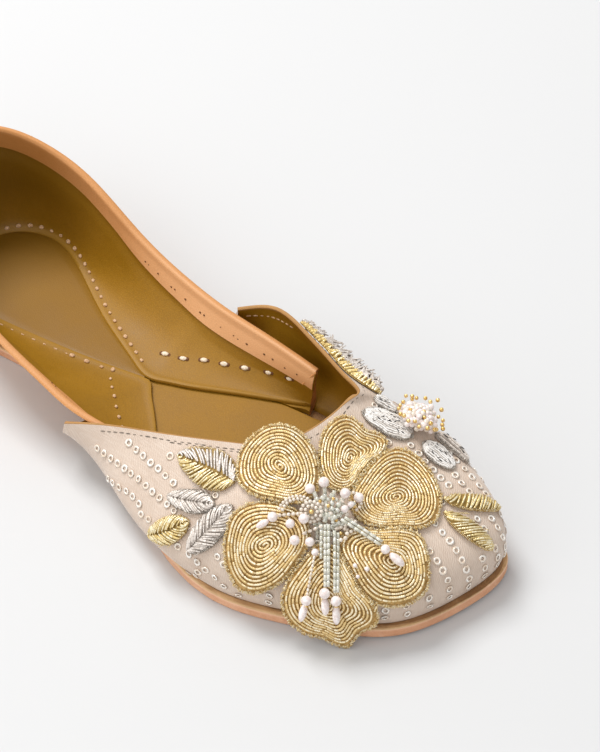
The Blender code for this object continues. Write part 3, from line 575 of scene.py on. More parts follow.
cords = {  # a laid cord reads its own length for its segments, a coil reads its place
    "goldCord": {"tones": ("#B48C48", "#EACB8C", "#FFF4D6"), "segment": 2.4, "twist": 0.6, "metal": 0.35, "roughness": 0.32},
    "goldCoil": {"tones": ("#A07A38", "#E6C682", "#FFF3D0"), "segment": None, "twist": 0.35, "metal": 0.4, "roughness": 0.38},
    "goldWire": {"tones": ("#AE8E48", "#E6CC8A", "#FFF4D2"), "segment": 1.6, "twist": 0.5, "metal": 0.45, "roughness": 0.34},
    "silverWire": {"tones": ("#A0948A", "#D8CDC2", "#F8EFE6"), "segment": 1.5, "twist": 0.45, "metal": 0.25, "roughness": 0.42},
    "silverFoil": {"tones": ("#9E968E", "#E2DBD3", "#FFFCF8"), "segment": 4.2, "twist": 0.5, "metal": 0.05, "roughness": 0.36},
    "darkWire": {"tones": ("#6E665F", "#B4ABA1", "#E9E4DA"), "segment": None, "twist": 0.35, "metal": 0.5, "roughness": 0.4},
}


def makeCord(name, row):
    material, tree, shader = newMaterial(name, {"Metallic": row["metal"], "Anisotropic": 0.35})
    deep, main, light = [tint(code) for code in row["tones"]]
    if row["segment"]:
        twist = useGroup(tree, "twist", {"Segment": row["segment"], "Twist": row["twist"]})
        ticks, height = twist["Ticks"], twist["Height"]
        # painted highlight along the cord's top, brighter on some segments
        glint = calc(tree, "MULTIPLY", twist["TopHighlight"], calc(tree, "ADD", 0.35, calc(tree, "MULTIPLY", twist["Glint"], 0.65)))
    else:
        # random painted glints over the coil, with darker flecks between them
        speckle = noiseOf(tree, objectPlace(tree), 1500.0, 2.0)
        glint, height = fade(tree, speckle, 0.34, 0.66), speckle
        ticks = calc(tree, "SUBTRACT", 1.0, fade(tree, speckle, 0.30, 0.42))
    # off the painted highlight the cord takes a darker tone, painted shade down its sides
    colour = mixColour(tree, fade(tree, glint, 0.0, 0.35), mixColour(tree, 0.45, deep, main), main)
    colour = mixColour(tree, fade(tree, glint, 0.30, 0.90), colour, light)
    colour = mixColour(tree, calc(tree, "MULTIPLY", ticks, 0.75), colour, deep)
    tree.links.new(colour, shader.inputs["Base Color"])
    rough = calc(tree, "ADD", row["roughness"], calc(tree, "MULTIPLY", ticks, 0.4))
    tree.links.new(calc(tree, "SUBTRACT", rough, calc(tree, "MULTIPLY", glint, 0.1)), shader.inputs["Roughness"])
    addBump(tree, shader, height, 0.6, 0.12)
    return material


paints = {  # plain finishes: tones deep and light, size of the mottle, then the shader's own settings
    "pearl": ("#E6D2CC", "#FCF4F0", 900.0, {"Coat Weight": 0.8, "Coat Roughness": 0.08, "Sheen Weight": 0.2}, 0.28),
    "seedPearl": ("#D8C8B6", "#F6EDE0", 1500.0, {"Coat Weight": 0.6, "Coat Roughness": 0.12}, 0.30),
    "crystal": ("#E4E2CC", "#FFFEF6", 900.0, {"Transmission Weight": 0.3, "IOR": 1.42, "Coat Weight": 1.0}, 0.10),
    "goldBead": ("#D2A048", "#FCE0A0", 1200.0, {"Metallic": 0.6}, 0.24),
    "sequin": ("#E8D2BA", "#FFFBF4", 420.0, {"Metallic": 0.10, "Coat Weight": 1.0, "Coat Roughness": 0.06}, 0.20),
    "underlay": ("#A07C3E", "#CBA465", 700.0, {}, 0.6),
    "wireUnder": ("#8A6E30", "#B4924C", 700.0, {}, 0.6),
    "silverUnder": ("#A89D92", "#CDC3B8", 700.0, {}, 0.6),
    "foilUnder": ("#8E857C", "#BDB5AC", 700.0, {}, 0.5),
    "inkThread": ("#1E1A18", "#3C3632", 2600.0, {}, 0.6),
    "greyThread": ("#54483C", "#7E7062", 2600.0, {"Sheen Weight": 0.3}, 0.7),
    "creamThread": ("#D6BD98", "#FBF0DE", 2200.0, {"Sheen Weight": 0.4}, 0.6),
    "tanThread": ("#AC7E50", "#E8C49C", 2200.0, {"Sheen Weight": 0.3}, 0.7),
    # dark discs standing for the shade inside needle holes: painted shade
    "holeShade": ("#5A3616", "#7A4E26", 2600.0, {}, 0.8),
}


def makePaint(name, row):
    deep, light, size, constants, roughness = row
    material, tree, shader = newMaterial(name, constants)
    mottle = noiseOf(tree, objectPlace(tree), size, 3.0)
    colour = mixColour(tree, fade(tree, mottle, 0.3, 0.7), tint(deep), tint(light))
    tree.links.new(colour, shader.inputs["Base Color"])
    rough = calc(tree, "ADD", roughness, calc(tree, "MULTIPLY", calc(tree, "SUBTRACT", mottle, 0.5), 0.12))
    tree.links.new(rough, shader.inputs["Roughness"])
    addBump(tree, shader, mottle, 0.25, 0.05)
    return material


finishes = {name: makeLeather(name, row) for name, row in leathers.items()}
finishes.update({name: makeCord(name, row) for name, row in cords.items()})
finishes.update({name: makePaint(name, row) for name, row in paints.items()})
finishes["silkCloth"] = makeSilk("silkCloth", silk)
print("materials made")


# Mesh helpers

def toFrame(points):
    return (np.asarray(points, float).reshape(-1, 3) - (sole["treadX"], 0.0, 0.0)) * mm


def newBundle():
    return {"points": [], "faces": [], "uv": [], "slots": [], "values": [], "count": 0}


def addPart(bundle, points, faces, uv, slot=0):
    points = np.asarray(points, float).reshape(-1, 3)
    first = bundle["count"]
    bundle["points"].append(points)
    bundle["count"] += len(points)
    bundle["faces"] += [[first + int(i) for i in face] for face in faces]
    bundle["uv"].append(np.asarray(uv, float).reshape(-1, 2))
    bundle["slots"] += [slot] * len(faces)


def tubeFrames(line, facing):
    along = unit(np.gradient(line, axis=0))
    side = unit(np.cross(np.broadcast_to(facing, line.shape), along))
    return side, np.cross(along, side)


def addTube(bundle, line, radius, facing, sides=6, slot=0, flat=1.0, start=0.0):
    line = np.asarray(line, float)
    count = len(line)
    side, up = tubeFrames(line, np.asarray(facing, float))
    radius = np.broadcast_to(radius, (count,))[:, None, None]
    angles = np.arange(sides) * turn / sides
    ring = side[:, None] * np.cos(angles)[None, :, None] + up[:, None] * np.sin(angles)[None, :, None] * flat
    points = line[:, None] + ring * radius
    run = start + np.concatenate(((0.0,), np.cumsum(np.linalg.norm(np.diff(line, axis=0), axis=1))))
    quads = gridFaces(count, sides, True)[:, ::-1]
    i, j = np.meshgrid(np.arange(count - 1), np.arange(sides), indexing="ij")
    i, j = i.ravel(), j.ravel()
    corners = ((i, j + 1), (i + 1, j + 1), (i + 1, j), (i, j))
    uv = np.stack([np.stack((run[a], b / sides), axis=1) for a, b in corners], axis=1)
    caps = [list(range(sides))[::-1], [(count - 1) * sides + k for k in range(sides)]]
    capUv = [(run[0], k / sides) for k in range(sides)] + [(run[-1], k / sides) for k in range(sides)]
    addPart(bundle, points, [*quads, *caps], np.concatenate((uv.reshape(-1, 2), capUv)), slot)


def newPiece(name, bundle, materials, fixNormals=False, sharp=50.0, values=None):
    mesh = bpy.data.meshes.new(name)
    points = np.concatenate(bundle["points"])
    mesh.from_pydata(toFrame(points).tolist(), [], bundle["faces"])
    layer = mesh.uv_layers.new(name="UVMap")
    layer.data.foreach_set("uv", np.concatenate(bundle["uv"]).astype(np.float32).ravel())
    for label, data in (values or {}).items():
        mesh.attributes.new(label, "FLOAT", "POINT").data.foreach_set("value", np.asarray(data, np.float32))
    for material in materials:
        mesh.materials.append(finishes[material])
    mesh.polygons.foreach_set("material_index", np.array(bundle["slots"], np.int32))
    if fixNormals:
        bm = bmesh.new()
        bm.from_mesh(mesh)
        bmesh.ops.remove_doubles(bm, verts=bm.verts, dist=0.000002)
        bmesh.ops.recalc_face_normals(bm, faces=bm.faces)
        bm.to_mesh(mesh)
        bm.free()
    mesh.shade_smooth()
    mesh.set_sharp_from_angle(angle=math.radians(sharp))
    piece = bpy.data.objects.new(name, mesh)
    bpy.context.scene.collection.objects.link(piece)
    return piece


def seat(piece, slot, *nodes):
    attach(piece, body)
    if nodes:
        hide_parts(*nodes)
    print("seated", piece.name, len(piece.data.polygons))


def addLoft(bundle, loops, slots, uv):
    loops = np.asarray(loops, float)
    rows, around = loops.shape[:2]
    quads = gridFaces(rows, around, True)
    ring = np.tile(np.arange(around), rows - 1)
    uv = np.asarray(uv, float)
    corners = []
    for quad, j in zip(quads, ring):
        a, b, c, d = uv[quad]
        corners += [a, b, c, d]
    first = len(bundle["slots"])
    addPart(bundle, loops, [*quads, list(range(around)), [rows * around - 1 - k for k in range(around)]],
            np.concatenate((np.array(corners), uv[:around], uv[::-1][:around])))
    bundle["slots"][first : first + len(quads)] = [int(slots[j]) for j in ring]
    return loops


# Things that repeat: one tree sets a shape along a path or on points

def studInputs(tree):
    rows = (
        ("Spacing", "NodeSocketFloat", 0.003), ("Long", "NodeSocketFloat", 0.002), ("Wide", "NodeSocketFloat", 0.001),
        ("High", "NodeSocketFloat", 0.001), ("Lift", "NodeSocketFloat", 0.0), ("Jitter", "NodeSocketFloat", 0.1),
        ("Seed", "NodeSocketInt", 3), ("Finish", "NodeSocketMaterial", None),
    )
    tree.interface.new_socket("Geometry", in_out="INPUT", socket_type="NodeSocketGeometry")
    for label, kind, value in rows:
        socket = tree.interface.new_socket(label, in_out="INPUT", socket_type=kind)
        if value is not None:
            socket.default_value = value
    tree.interface.new_socket("Geometry", in_out="OUTPUT", socket_type="NodeSocketGeometry")


def studShape(tree, shape):
    spheres = {"bead": (8, 6), "pearl": (18, 11)}
    if shape in spheres:
        segments, rings = spheres[shape]
        ball = {"Segments": segments, "Rings": rings, "Radius": 0.5}
        return addNode(tree, "GeometryNodeMeshUVSphere", ball).outputs["Mesh"]
    if shape == "bugle":
        tube = addNode(tree, "GeometryNodeMeshCylinder", {"Vertices": 8, "Radius": 0.5, "Depth": 1.0}).outputs["Mesh"]
        angles = (0.0, math.pi / 2.0, 0.0)
        return addNode(tree, "GeometryNodeTransform", {"Geometry": tube, "Rotation": angles}).outputs["Geometry"]
    thin, sides, around = (0.165, 14, 4) if shape == "ring" else (0.15, 9, 4)
    circle = addNode(tree, "GeometryNodeCurvePrimitiveCircle", {"Resolution": sides, "Radius": 0.5 - thin})
    profile = addNode(tree, "GeometryNodeCurvePrimitiveCircle", {"Resolution": around, "Radius": thin})
    circle, profile = circle.outputs["Curve"], profile.outputs["Curve"]
    torus = addNode(tree, "GeometryNodeCurveToMesh", {"Curve": circle, "Profile Curve": profile}).outputs["Mesh"]
    if shape == "ring":
        return torus
    angles = (0.0, math.pi / 2.0, math.radians(24.0))
    return addNode(tree, "GeometryNodeTransform", {"Geometry": torus, "Rotation": angles}).outputs["Geometry"]


def makeStudTree(shape, onPoints):
    tree = bpy.data.node_groups.new(f"{shape}{'OnPoints' if onPoints else 'AlongPath'}", "GeometryNodeTree")
    studInputs(tree)
    given = tree.nodes.new("NodeGroupInput").outputs

    def named(label, kind="FLOAT_VECTOR"):
        node = addNode(tree, "GeometryNodeInputNamedAttribute", {"Name": label}, data_type=kind)
        return node.outputs["Attribute"]

    if onPoints:
        spots = addNode(tree, "GeometryNodeMeshToPoints", {"Mesh": given["Geometry"]}).outputs["Points"]
        heading, size = named("heading"), named("size")
    else:
        path = addNode(tree, "GeometryNodeMeshToCurve", {"Mesh": given["Geometry"]}).outputs["Curve"]
        strung = addNode(
            tree, "GeometryNodeCurveToPoints", {"Curve": path, "Length": given["Spacing"]}, mode="LENGTH"
        ).outputs
        spots, heading, size = strung["Points"], strung["Tangent"], (1.0, 1.0, 1.0)
    facing = named("facing")
    lift = addNode(tree, "ShaderNodeVectorMath", {0: facing, "Scale": given["Lift"]}, operation="SCALE").outputs[0]
    raised = addNode(tree, "GeometryNodeSetPosition", {"Geometry": spots, "Offset": lift}).outputs["Geometry"]
    stand = addNode(tree, "FunctionNodeAlignRotationToVector", {"Vector": facing}, axis="Z").outputs["Rotation"]
    aimed = addNode(
        tree, "FunctionNodeAlignRotationToVector", {"Rotation": stand, "Vector": heading}, axis="X", pivot_axis="Z"
    ).outputs["Rotation"]
    low = calc(tree, "SUBTRACT", 1.0, given["Jitter"])
    high = calc(tree, "ADD", 1.0, given["Jitter"])
    chance = addNode(tree, "FunctionNodeRandomValue", {"Seed": given["Seed"]}, data_type="FLOAT")
    tree.links.new(low, chance.inputs[2])
    tree.links.new(high, chance.inputs[3])
    sizes = addNode(tree, "ShaderNodeCombineXYZ", {0: given["Long"], 1: given["Wide"], 2: given["High"]}).outputs[0]
    varied = addNode(
        tree, "ShaderNodeVectorMath", {0: sizes, "Scale": chance.outputs[1]}, operation="SCALE"
    ).outputs[0]
    scale = addNode(tree, "ShaderNodeVectorMath", {0: varied, 1: size}, operation="MULTIPLY").outputs[0]
    placed = addNode(
        tree, "GeometryNodeInstanceOnPoints",
        {"Points": raised, "Instance": studShape(tree, shape), "Rotation": aimed, "Scale": scale},
    ).outputs["Instances"]
    real = addNode(tree, "GeometryNodeRealizeInstances", {"Geometry": placed}).outputs["Geometry"]
    smooth = addNode(tree, "GeometryNodeSetShadeSmooth", {"Geometry": real}).outputs["Geometry"]
    done = addNode(tree, "GeometryNodeSetMaterial", {"Geometry": smooth, "Material": given["Finish"]})
    tree.links.new(done.outputs["Geometry"], tree.nodes.new("NodeGroupOutput").inputs[0])
    return tree


studTrees = {}


def studMesh(name, shape, paths, row, onPoints=False):
    key = (shape, onPoints)
    if key not in studTrees:
        studTrees[key] = makeStudTree(*key)
    tree = studTrees[key]
    points = np.concatenate([np.asarray(path["points"], float).reshape(-1, 3) for path in paths])
    edges = []
    first = 0
    for path in paths:
        count = len(path["points"])
        if not onPoints:
            edges += [(first + i, first + i + 1) for i in range(count - 1)]
        first += count
    mesh = bpy.data.meshes.new(name + "Guide")
    mesh.from_pydata(toFrame(points).tolist(), edges, [])
    labels = ("facing", "heading", "size") if onPoints else ("facing",)
    for label in labels:
        data = [np.broadcast_to(path.get(label, (1.0, 1.0, 1.0)), (len(path["points"]), 3)) for path in paths]
        layer = mesh.attributes.new(label, "FLOAT_VECTOR", "POINT")
        layer.data.foreach_set("vector", np.concatenate(data).astype(np.float32).ravel())
    guide = bpy.data.objects.new(name + "Guide", mesh)
    bpy.context.scene.collection.objects.link(guide)
    modifier = guide.modifiers.new(name, "NODES")
    modifier.node_group = tree
    settings = {"Lift": 0.0, "Jitter": 0.06, "Seed": 3, "Spacing": 3.0, **row}
    for item in tree.interface.items_tree:
        if item.item_type == "SOCKET" and item.in_out == "INPUT" and item.name in settings:
            value = settings[item.name]
            if item.name == "Finish":
                value = finishes[value]
            elif item.name not in ("Jitter", "Seed"):
                value *= mm
            modifier[item.identifier] = value
    graph = bpy.context.evaluated_depsgraph_get()
    made = bpy.data.meshes.new_from_object(guide.evaluated_get(graph))
    bpy.data.objects.remove(guide)
    made.name = name
    return made


def joinMeshes(name, meshes):
    bm = bmesh.new()
    slots = []
    for mesh in meshes:
        first = len(bm.faces)
        bm.from_mesh(mesh)
        bm.faces.ensure_lookup_table()
        for material in mesh.materials:
            if material not in slots:
                slots.append(material)
        for face in bm.faces[first:]:
            face.material_index = slots.index(mesh.materials[face.material_index])
    joined = bpy.data.meshes.new(name)
    bm.to_mesh(joined)
    bm.free()
    for material in slots:
        joined.materials.append(material)
    piece = bpy.data.objects.new(name, joined)
    bpy.context.scene.collection.objects.link(piece)
    for mesh in meshes:
        bpy.data.meshes.remove(mesh)
    return piece


def studPiece(name, shape, paths, row, onPoints=False):
    piece = bpy.data.objects.new(name, studMesh(name, shape, paths, row, onPoints))
    bpy.context.scene.collection.objects.link(piece)
    return piece


# Sole, insole and sock

def halfCurves(inset):
    angles = np.linspace(0.0, turn, 1441)
    points, outward = outlinePoint(angles, inset(0.5 * sole["length"] * (1.0 - np.cos(angles))))
    points = np.roll(points[:-1], -int(np.argmin(points[:-1, 0])), axis=0)
    front = int(np.argmax(points[:, 0]))
    return np.vstack((points[front:], points[:1]))[::-1], points[: front + 1]


def sideRows(inset, count):
    lateral, medial = halfCurves(inset)
    low, high = medial[0, 0], medial[-1, 0]
    x = low + (high - low) * 0.5 * (1.0 - np.cos(np.linspace(0.0, math.pi, count)))
    return x, np.interp(x, lateral[:, 0], lateral[:, 1]), np.interp(x, medial[:, 0], medial[:, 1])


def soleInset(x):
    return np.zeros_like(x)


def insoleInset(x):
    clear = sole["toeMargin"] + vamp["wall"] + 2.0 * gap
    lappedClear = sole["waistMargin"] + quarter["lapInset"] + quarter["wall"] + gap
    end = quarter["wingEnd"]
    lapped = smoothStep(x, 76.0, 96.0) * (1.0 - smoothStep(x, end + 2.0, end + 14.0))
    return clear + lapped * (lappedClear - clear)


def ripple(points, size, seed):
    total = np.zeros(len(points))
    for k in range(1, 5):
        wave = np.array([math.sin(seed * 12.9 + k * 78.2 + n * 37.7) * 2.0 for n in range(3)])
        total += np.sin(points @ wave * k / size + seed + k) / k
    return total / 2.0


outsole = {
    "sections": 190,
    "levels": (0.0, 0.25, 0.42, 0.50, 0.58, 0.80, 1.0),  # places up the side; the groove is at the middle one
    "groove": 0.14,
    "topRough": 0.16,
    "sideRough": 0.12,
    "across": 6,
    "margin": (0.0, 0.4, 0.75, 1.0),  # places over the free margin, which darkens towards the vamp
}


def slabRing(x, outer, inner, low, high, bevel):
    b = min(bevel, 0.3 * (inner - outer))
    angles = (0.35, 0.8, 1.2)
    sideFirst = [(b * (1.0 - math.cos(a)), b * (1.0 - math.sin(a))) for a in angles]
    flatFirst = [(b * (1.0 - math.sin(a)), b * (1.0 - math.cos(a))) for a in angles]
    levels = [low + b + (high - low - 2.0 * b) * share for share in outsole["levels"]]
    deep = [outsole["groove"] if share == 0.5 else 0.0 for share in outsole["levels"]]
    free = min(vampMargin(x) - b + 0.35, 0.3 * (inner - outer - 2.0 * b))
    near = [free * share for share in outsole["margin"]]
    width = inner - outer - 2.0 * b - 2.0 * free
    middle = [outer + b + free + width * k / outsole["across"] for k in range(1, outsole["across"])]
    across = [outer + b + d for d in near] + middle + [inner - b - d for d in near[::-1]]
    ring = [(outer + s, low + t) for s, t in flatFirst]
    ring += [(outer + d, z) for z, d in zip(levels, deep)]
    ring += [(outer + s, high - t) for s, t in sideFirst]
    ring += [(y, high) for y in across]
    ring += [(inner - s, high - t) for s, t in flatFirst]
    ring += [(inner - d, z) for z, d in zip(levels[::-1], deep[::-1])]
    ring += [(inner - s, low + t) for s, t in sideFirst]
    ring += [(y, low) for y in across[::-1]]
    return [(x, y, z) for y, z in ring]


def slabSlots():
    levels, across = len(outsole["levels"]), outsole["across"] - 1 + 2 * len(outsole["margin"])
    side, top, under = 0, 1, 2
    return [side] * (3 + levels) + [top] * (3 + across + 1) + [side] * (2 + levels + 2) + [under] * (across + 1)


def slabLoops(inset, bottom, thickness, bevel, sections):
    loops = []
    for x, outer, inner in zip(*sideRows(inset, sections)):
        low = bottom + float(springHeight(x))
        loops.append(slabRing(x, outer, inner, low, low + thickness, bevel))
    return np.array(loops)


def buildSole():
    loops = slabLoops(soleInset, 0.0, sole["thickness"], sole["bevel"], outsole["sections"])
    points = loops.reshape(-1, 3)
    low = springHeight(points[:, 0])
    share = (points[:, 2] - low) / sole["thickness"]
    outline = np.zeros_like(points)
    middle = 0.5 * (loops[:, :, 1].min(axis=1) + loops[:, :, 1].max(axis=1))
    outline[:, 1] = np.sign(points[:, 1] - np.repeat(middle, loops.shape[1]))
    onSide = np.clip(np.minimum(share, 1.0 - share) * 6.0, 0.0, 1.0)
    points += outline * (ripple(points, 1.1, 2.0) * onSide * outsole["sideRough"])[:, None]
    points[:, 2] += ripple(points, 0.8, 5.0) * smoothStep(share, 0.9, 1.0) * outsole["topRough"]
    slots = slabSlots()
    bundle = newBundle()
    addLoft(bundle, loops, slots, np.zeros((len(points), 2)))
    wearAndPaintedLight = smoothStep(share, 0.72, 0.86) * (1.0 - 0.6 * smoothStep(share, 0.93, 1.0))
    edge = np.minimum(np.abs(points[:, 1] - np.repeat(loops[:, :, 1].min(axis=1), loops.shape[1])),
                      np.abs(points[:, 1] - np.repeat(loops[:, :, 1].max(axis=1), loops.shape[1])))
    free = vampMargin(points[:, 0])
    # painted shade: the rand's top darkens into the crease under the vamp's foot
    shade = np.where(share > 0.98, 0.9 * smoothStep(edge / free, 0.9, 1.15), 0.0)
    values = {"wearAndPaintedLight": wearAndPaintedLight, "shade": shade}
    piece = newPiece("soleLeather", bundle, ("soleSideLeather", "randLeather", "treadLeather"), True, 70.0, values)
    seat(piece, "sole_leather", "outsole")


def buildInsole():
    loops = slabLoops(insoleInset, upperBase, insoleTop - upperBase, 0.3, 110)
    bundle = newBundle()
    addLoft(bundle, loops, [0] * loops.shape[1], np.zeros((loops.size // 3, 2)))
    zero = np.zeros(loops.size // 3)
    seat(newPiece("insoleLeather", bundle, ("insoleLeather",), True, 40.0, {"wearAndPaintedLight": zero, "shade": zero}),
         "tan_leather", "insole")


sock = {"front": 94.0, "margin": 0.2, "thickness": 0.7, "roll": 0.2}


def footEdge(angle):
    y = splineValues(footAngles, footValues, angle)[0, 0]
    return lineX(quarter["footTip"][0], angle), y


def lineX(tip, angle):
    share = 0.5 * (1.0 - math.cos(angle)) * sole["length"] / quarter["wingEnd"]
    return tip + (quarter["wingEnd"] - tip) * share


def buildSock():
    low = insoleTop + gap
    high = low + sock["thickness"]
    loops = []
    for share in np.linspace(0.02, 1.0, 70) ** 1.25:
        angle = stationAngle(share * sock["front"] / sole["length"])
        x, inner = footEdge(angle)
        _, outer = footEdge(-angle)
        inner, outer = inner - sock["margin"], outer + sock["margin"]
        r = min(sock["roll"], 0.3 * (inner - outer))
        across = np.linspace(outer + r, inner - r, 12)
        swell = [0.12 * math.sin(math.pi * k / 11.0) for k in range(12)]
        ring = [(x, outer, low), (x, outer, high - r), (x, outer + 0.3 * r, high - 0.3 * r)]
        ring += [(x, y, high + s) for y, s in zip(across, swell)]
        ring += [(x, inner - 0.3 * r, high - 0.3 * r), (x, inner, high - r), (x, inner, low)]
        loops.append(ring)
    loops = np.array(loops)
    bundle = newBundle()
    addLoft(bundle, loops, [0] * loops.shape[1], np.zeros((loops.size // 3, 2)))
    points = loops.reshape(-1, 3)
    rubbed = 0.3 * np.exp(-((points[:, 0] - 26.0) / 14.0) ** 2 - (points[:, 1] / 11.0) ** 2)
    # a darker tone over the whole sock, plus painted shade deepening towards the heel
    shade = 0.50 + 0.35 * (1.0 - smoothStep(points[:, 0], 4.0, 40.0))
    seat(newPiece("sockLeather", bundle, ("insoleLeather",), True, 40.0, {"wearAndPaintedLight": rubbed, "shade": shade}),
         "tan_leather", "heel_sock")


# Back part: outer face, rolled rim, folded band, inner face and turned-in foot

backMesh = {"sections": 241, "outer": 22, "rim": 5, "band": 7, "wall": 34, "bulge": 0.7, "bead": 0.22}


def resample(points, count):
    points = np.asarray(points, float)
    run = np.concatenate(((0.0,), np.cumsum(np.linalg.norm(np.diff(points, axis=0), axis=1))))
    at = np.linspace(0.0, run[-1], count)
    return np.stack([np.interp(at, run, points[:, axis]) for axis in range(3)], axis=1)


def backRing(angle):
    x = 0.5 * sole["length"] * (1.0 - math.cos(angle))
    inset = sole["waistMargin"] + smoothStep(x, 84.0, 100.0) * quarter["lapInset"]
    foot, outward = outlinePoint(angle if angle >= 0.0 else turn + angle, inset)
    side = np.array((outward[0, 0], outward[0, 1], 0.0))
    up = np.array((0.0, 0.0, 1.0))
    rimY, rimZ = splineValues(rimAngles, rimValues, angle)[0]
    rim = np.array((lineX(quarter["rimTip"][0], angle), rimY, rimZ))
    base = np.array((foot[0, 0], foot[0, 1], upperBase))
    flare = smoothStep(x, 20.0, 70.0)
    height = rim[2] - base[2]
    outer = bezier(
        base,
        base + side * (3.0 + 4.0 * flare) + up * (0.40 - 0.20 * flare) * height,
        rim - side * (6.0 * flare - 1.0) - up * 0.38 * height,
        rim,
        backMesh["outer"],
    )
    edge = np.array((*footEdge(angle), footTop))
    thick = quarter["wall"] + quarter["bandStep"]
    rimInner = rim - side * thick
    reach = np.linalg.norm((rimInner - edge)[:2])
    inner = bezier(
        rimInner,
        rimInner - side * 0.5 - up * 0.45 * height,
        edge + side * min(0.62 * reach, 16.0) + up * 0.4,
        edge,
        80,
    )
    for i in range(1, len(inner) - 1):
        short = inner[i] @ side - np.interp(inner[i, 2], outer[:, 2], outer @ side) + quarter["wall"]
        inner[i] -= side * max(short, 0.0)
    low = rim[2] - quarter["bandWidth"]
    lip = np.array([np.interp(-low, -inner[:, 2], inner[:, axis]) for axis in range(3)])
    band = resample([point for point in inner if point[2] > low + 0.2] + [lip], backMesh["band"])
    below = [point for point in inner if point[2] < low - 0.2]
    under = [point + side * quarter["bandStep"] * (1.0 - smoothStep(low - point[2], 0.0, 7.0)) for point in below]
    wall = resample([lip + side * quarter["bandStep"], *under], backMesh["wall"])
    roll = []
    for k in range(1, backMesh["rim"] + 1):
        a = math.pi * k / (backMesh["rim"] + 1)
        roll.append(rim - side * thick * 0.5 * (1.0 - math.cos(a)) + up * backMesh["bulge"] * math.sin(a))
    inward = unit(wall[-2] - wall[-1]) * -1.0
    thin = quarter["footThickness"]
    wall[-3:, 2] += np.array((0.5, 1.0, 0.4)) * backMesh["bead"]
    lips = [edge + inward * 0.30 - up * 0.25 * thin, edge + inward * 0.30 - up * 0.75 * thin, edge - up * thin]
    heelBase = base - side * np.clip((base - edge) @ side + quarter["endWall"], quarter["endWall"], quarter["wall"])
    return np.vstack((outer, roll, band, wall, lips, [(heelBase[0], heelBase[1], footTop - thin), heelBase]))


def backSlots():
    rows = backMesh
    outer, rim, lining = 0, 1, 2
    slots = [outer] * (rows["outer"] - 2) + [rim] * (1 + rows["rim"] + 1 + rows["band"])
    return slots + [lining] * (len(backLoops[0]) - len(slots))


backEnd = stationAngle(quarter["wingEnd"] / sole["length"])
backLoops = np.array([backRing(angle) for angle in np.linspace(-backEnd, backEnd, backMesh["sections"])])
bandFirst = backMesh["outer"] + backMesh["rim"]
wallFirst = bandFirst + backMesh["band"]
wallLast = wallFirst + backMesh["wall"]
wallTree = gridTree(backLoops[:, bandFirst : wallLast])


def buildBack():
    rows, around = backLoops.shape[:2]
    run = np.tile(np.arange(around), rows)
    # painted shade: the rim's top rows are darkened where the key light falls on them
    rimTopPaintedShade = np.where((run > backMesh["outer"] - 3) & (run < bandFirst), 0.34, 0.0)
    x = backLoops[:, :, 0].ravel()
    # painted highlight along the turned-in foot edge, stronger at the heel
    edgeHighlight = np.where((run >= wallLast - 2) & (run <= wallLast + 1), 0.9 - 0.45 * smoothStep(x, 20.0, 50.0), 0.0)
    y, z = backLoops[:, :, 1].ravel(), backLoops[:, :, 2].ravel()
    inside = run >= wallFirst
    folded = (run >= bandFirst - 2) & ~inside & (y > 0.0)
    # painted shade on the folded band, deepening towards the heel
    bandShade = folded * (0.95 - 0.95 * smoothStep(x, 6.0, 56.0))
    # painted shade on the lining deep in the heel cup, strongest high on the wall
    heelShade = inside * (1.0 - smoothStep(x, 2.0, 62.0)) * (0.35 + 0.65 * smoothStep(z, 8.0, 30.0))
    bundle = newBundle()
    addLoft(bundle, backLoops, backSlots(), np.zeros((rows * around, 2)))
    # painted light on the folded band, brighter towards the wing end, together with the painted edge highlight
    paintedLight = np.maximum(edgeHighlight, 0.9 * folded * smoothStep(x, 40.0, 85.0))
    values = {"wearAndPaintedLight": paintedLight, "shade": np.maximum(np.maximum(rimTopPaintedShade, heelShade), bandShade)}
    materials = ("outerLeather", "rimLeather", "liningLeather")
    seat(newPiece("backPart", bundle, materials, True, 38.0, values), "tan_leather", "quarter")


# Vamp: silk outside, leather lining, a thin leather edge round the throat

vampMesh = {"across": 301, "up": 46, "edgeWidth": 0.28, "roll": 3}


def vampSheets():
    outer = vampGrid(vampMesh["across"], vampMesh["up"])
    wall = np.linspace(vamp["wall"], vamp["edge"], vampMesh["up"])[None, :, None]
    inner = outer - gridNormals(outer) * wall
    inner[:, 0, 2] = outer[:, 0, 2]
    return outer, inner


vampOuter, vampInner = vampSheets()
vampTree = gridTree(vampOuter)
vampNormals = gridNormals(vampOuter)


def clothPlaces():
    top = vampOuter[:, -1]
    outward = unit(vampOuter[:, 0] - top)[:, :2]
    steps = np.diff(vampOuter[:, ::-1], axis=1)
    lengths = np.linalg.norm(steps, axis=2)
    ways = unit(steps[:, :, :2] + 0.35 * lengths[:, :, None] * outward[:, None])
    moved = np.cumsum(ways * lengths[:, :, None], axis=1)
    flat = np.concatenate((np.zeros((len(top), 1, 2)), moved), axis=1) + top[:, None, :2]
    return flat[:, ::-1]


def downFromThroat(distance):
    points, normals = [], []
    for rib, facing in zip(vampOuter[:, ::-1], vampNormals[:, ::-1]):
        run = np.concatenate(((0.0,), np.cumsum(np.linalg.norm(np.diff(rib, axis=0), axis=1))))
        points.append([np.interp(distance, run, rib[:, axis]) for axis in range(3)])
        normals.append([np.interp(distance, run, facing[:, axis]) for axis in range(3)])
    return np.array(points), unit(np.array(normals))


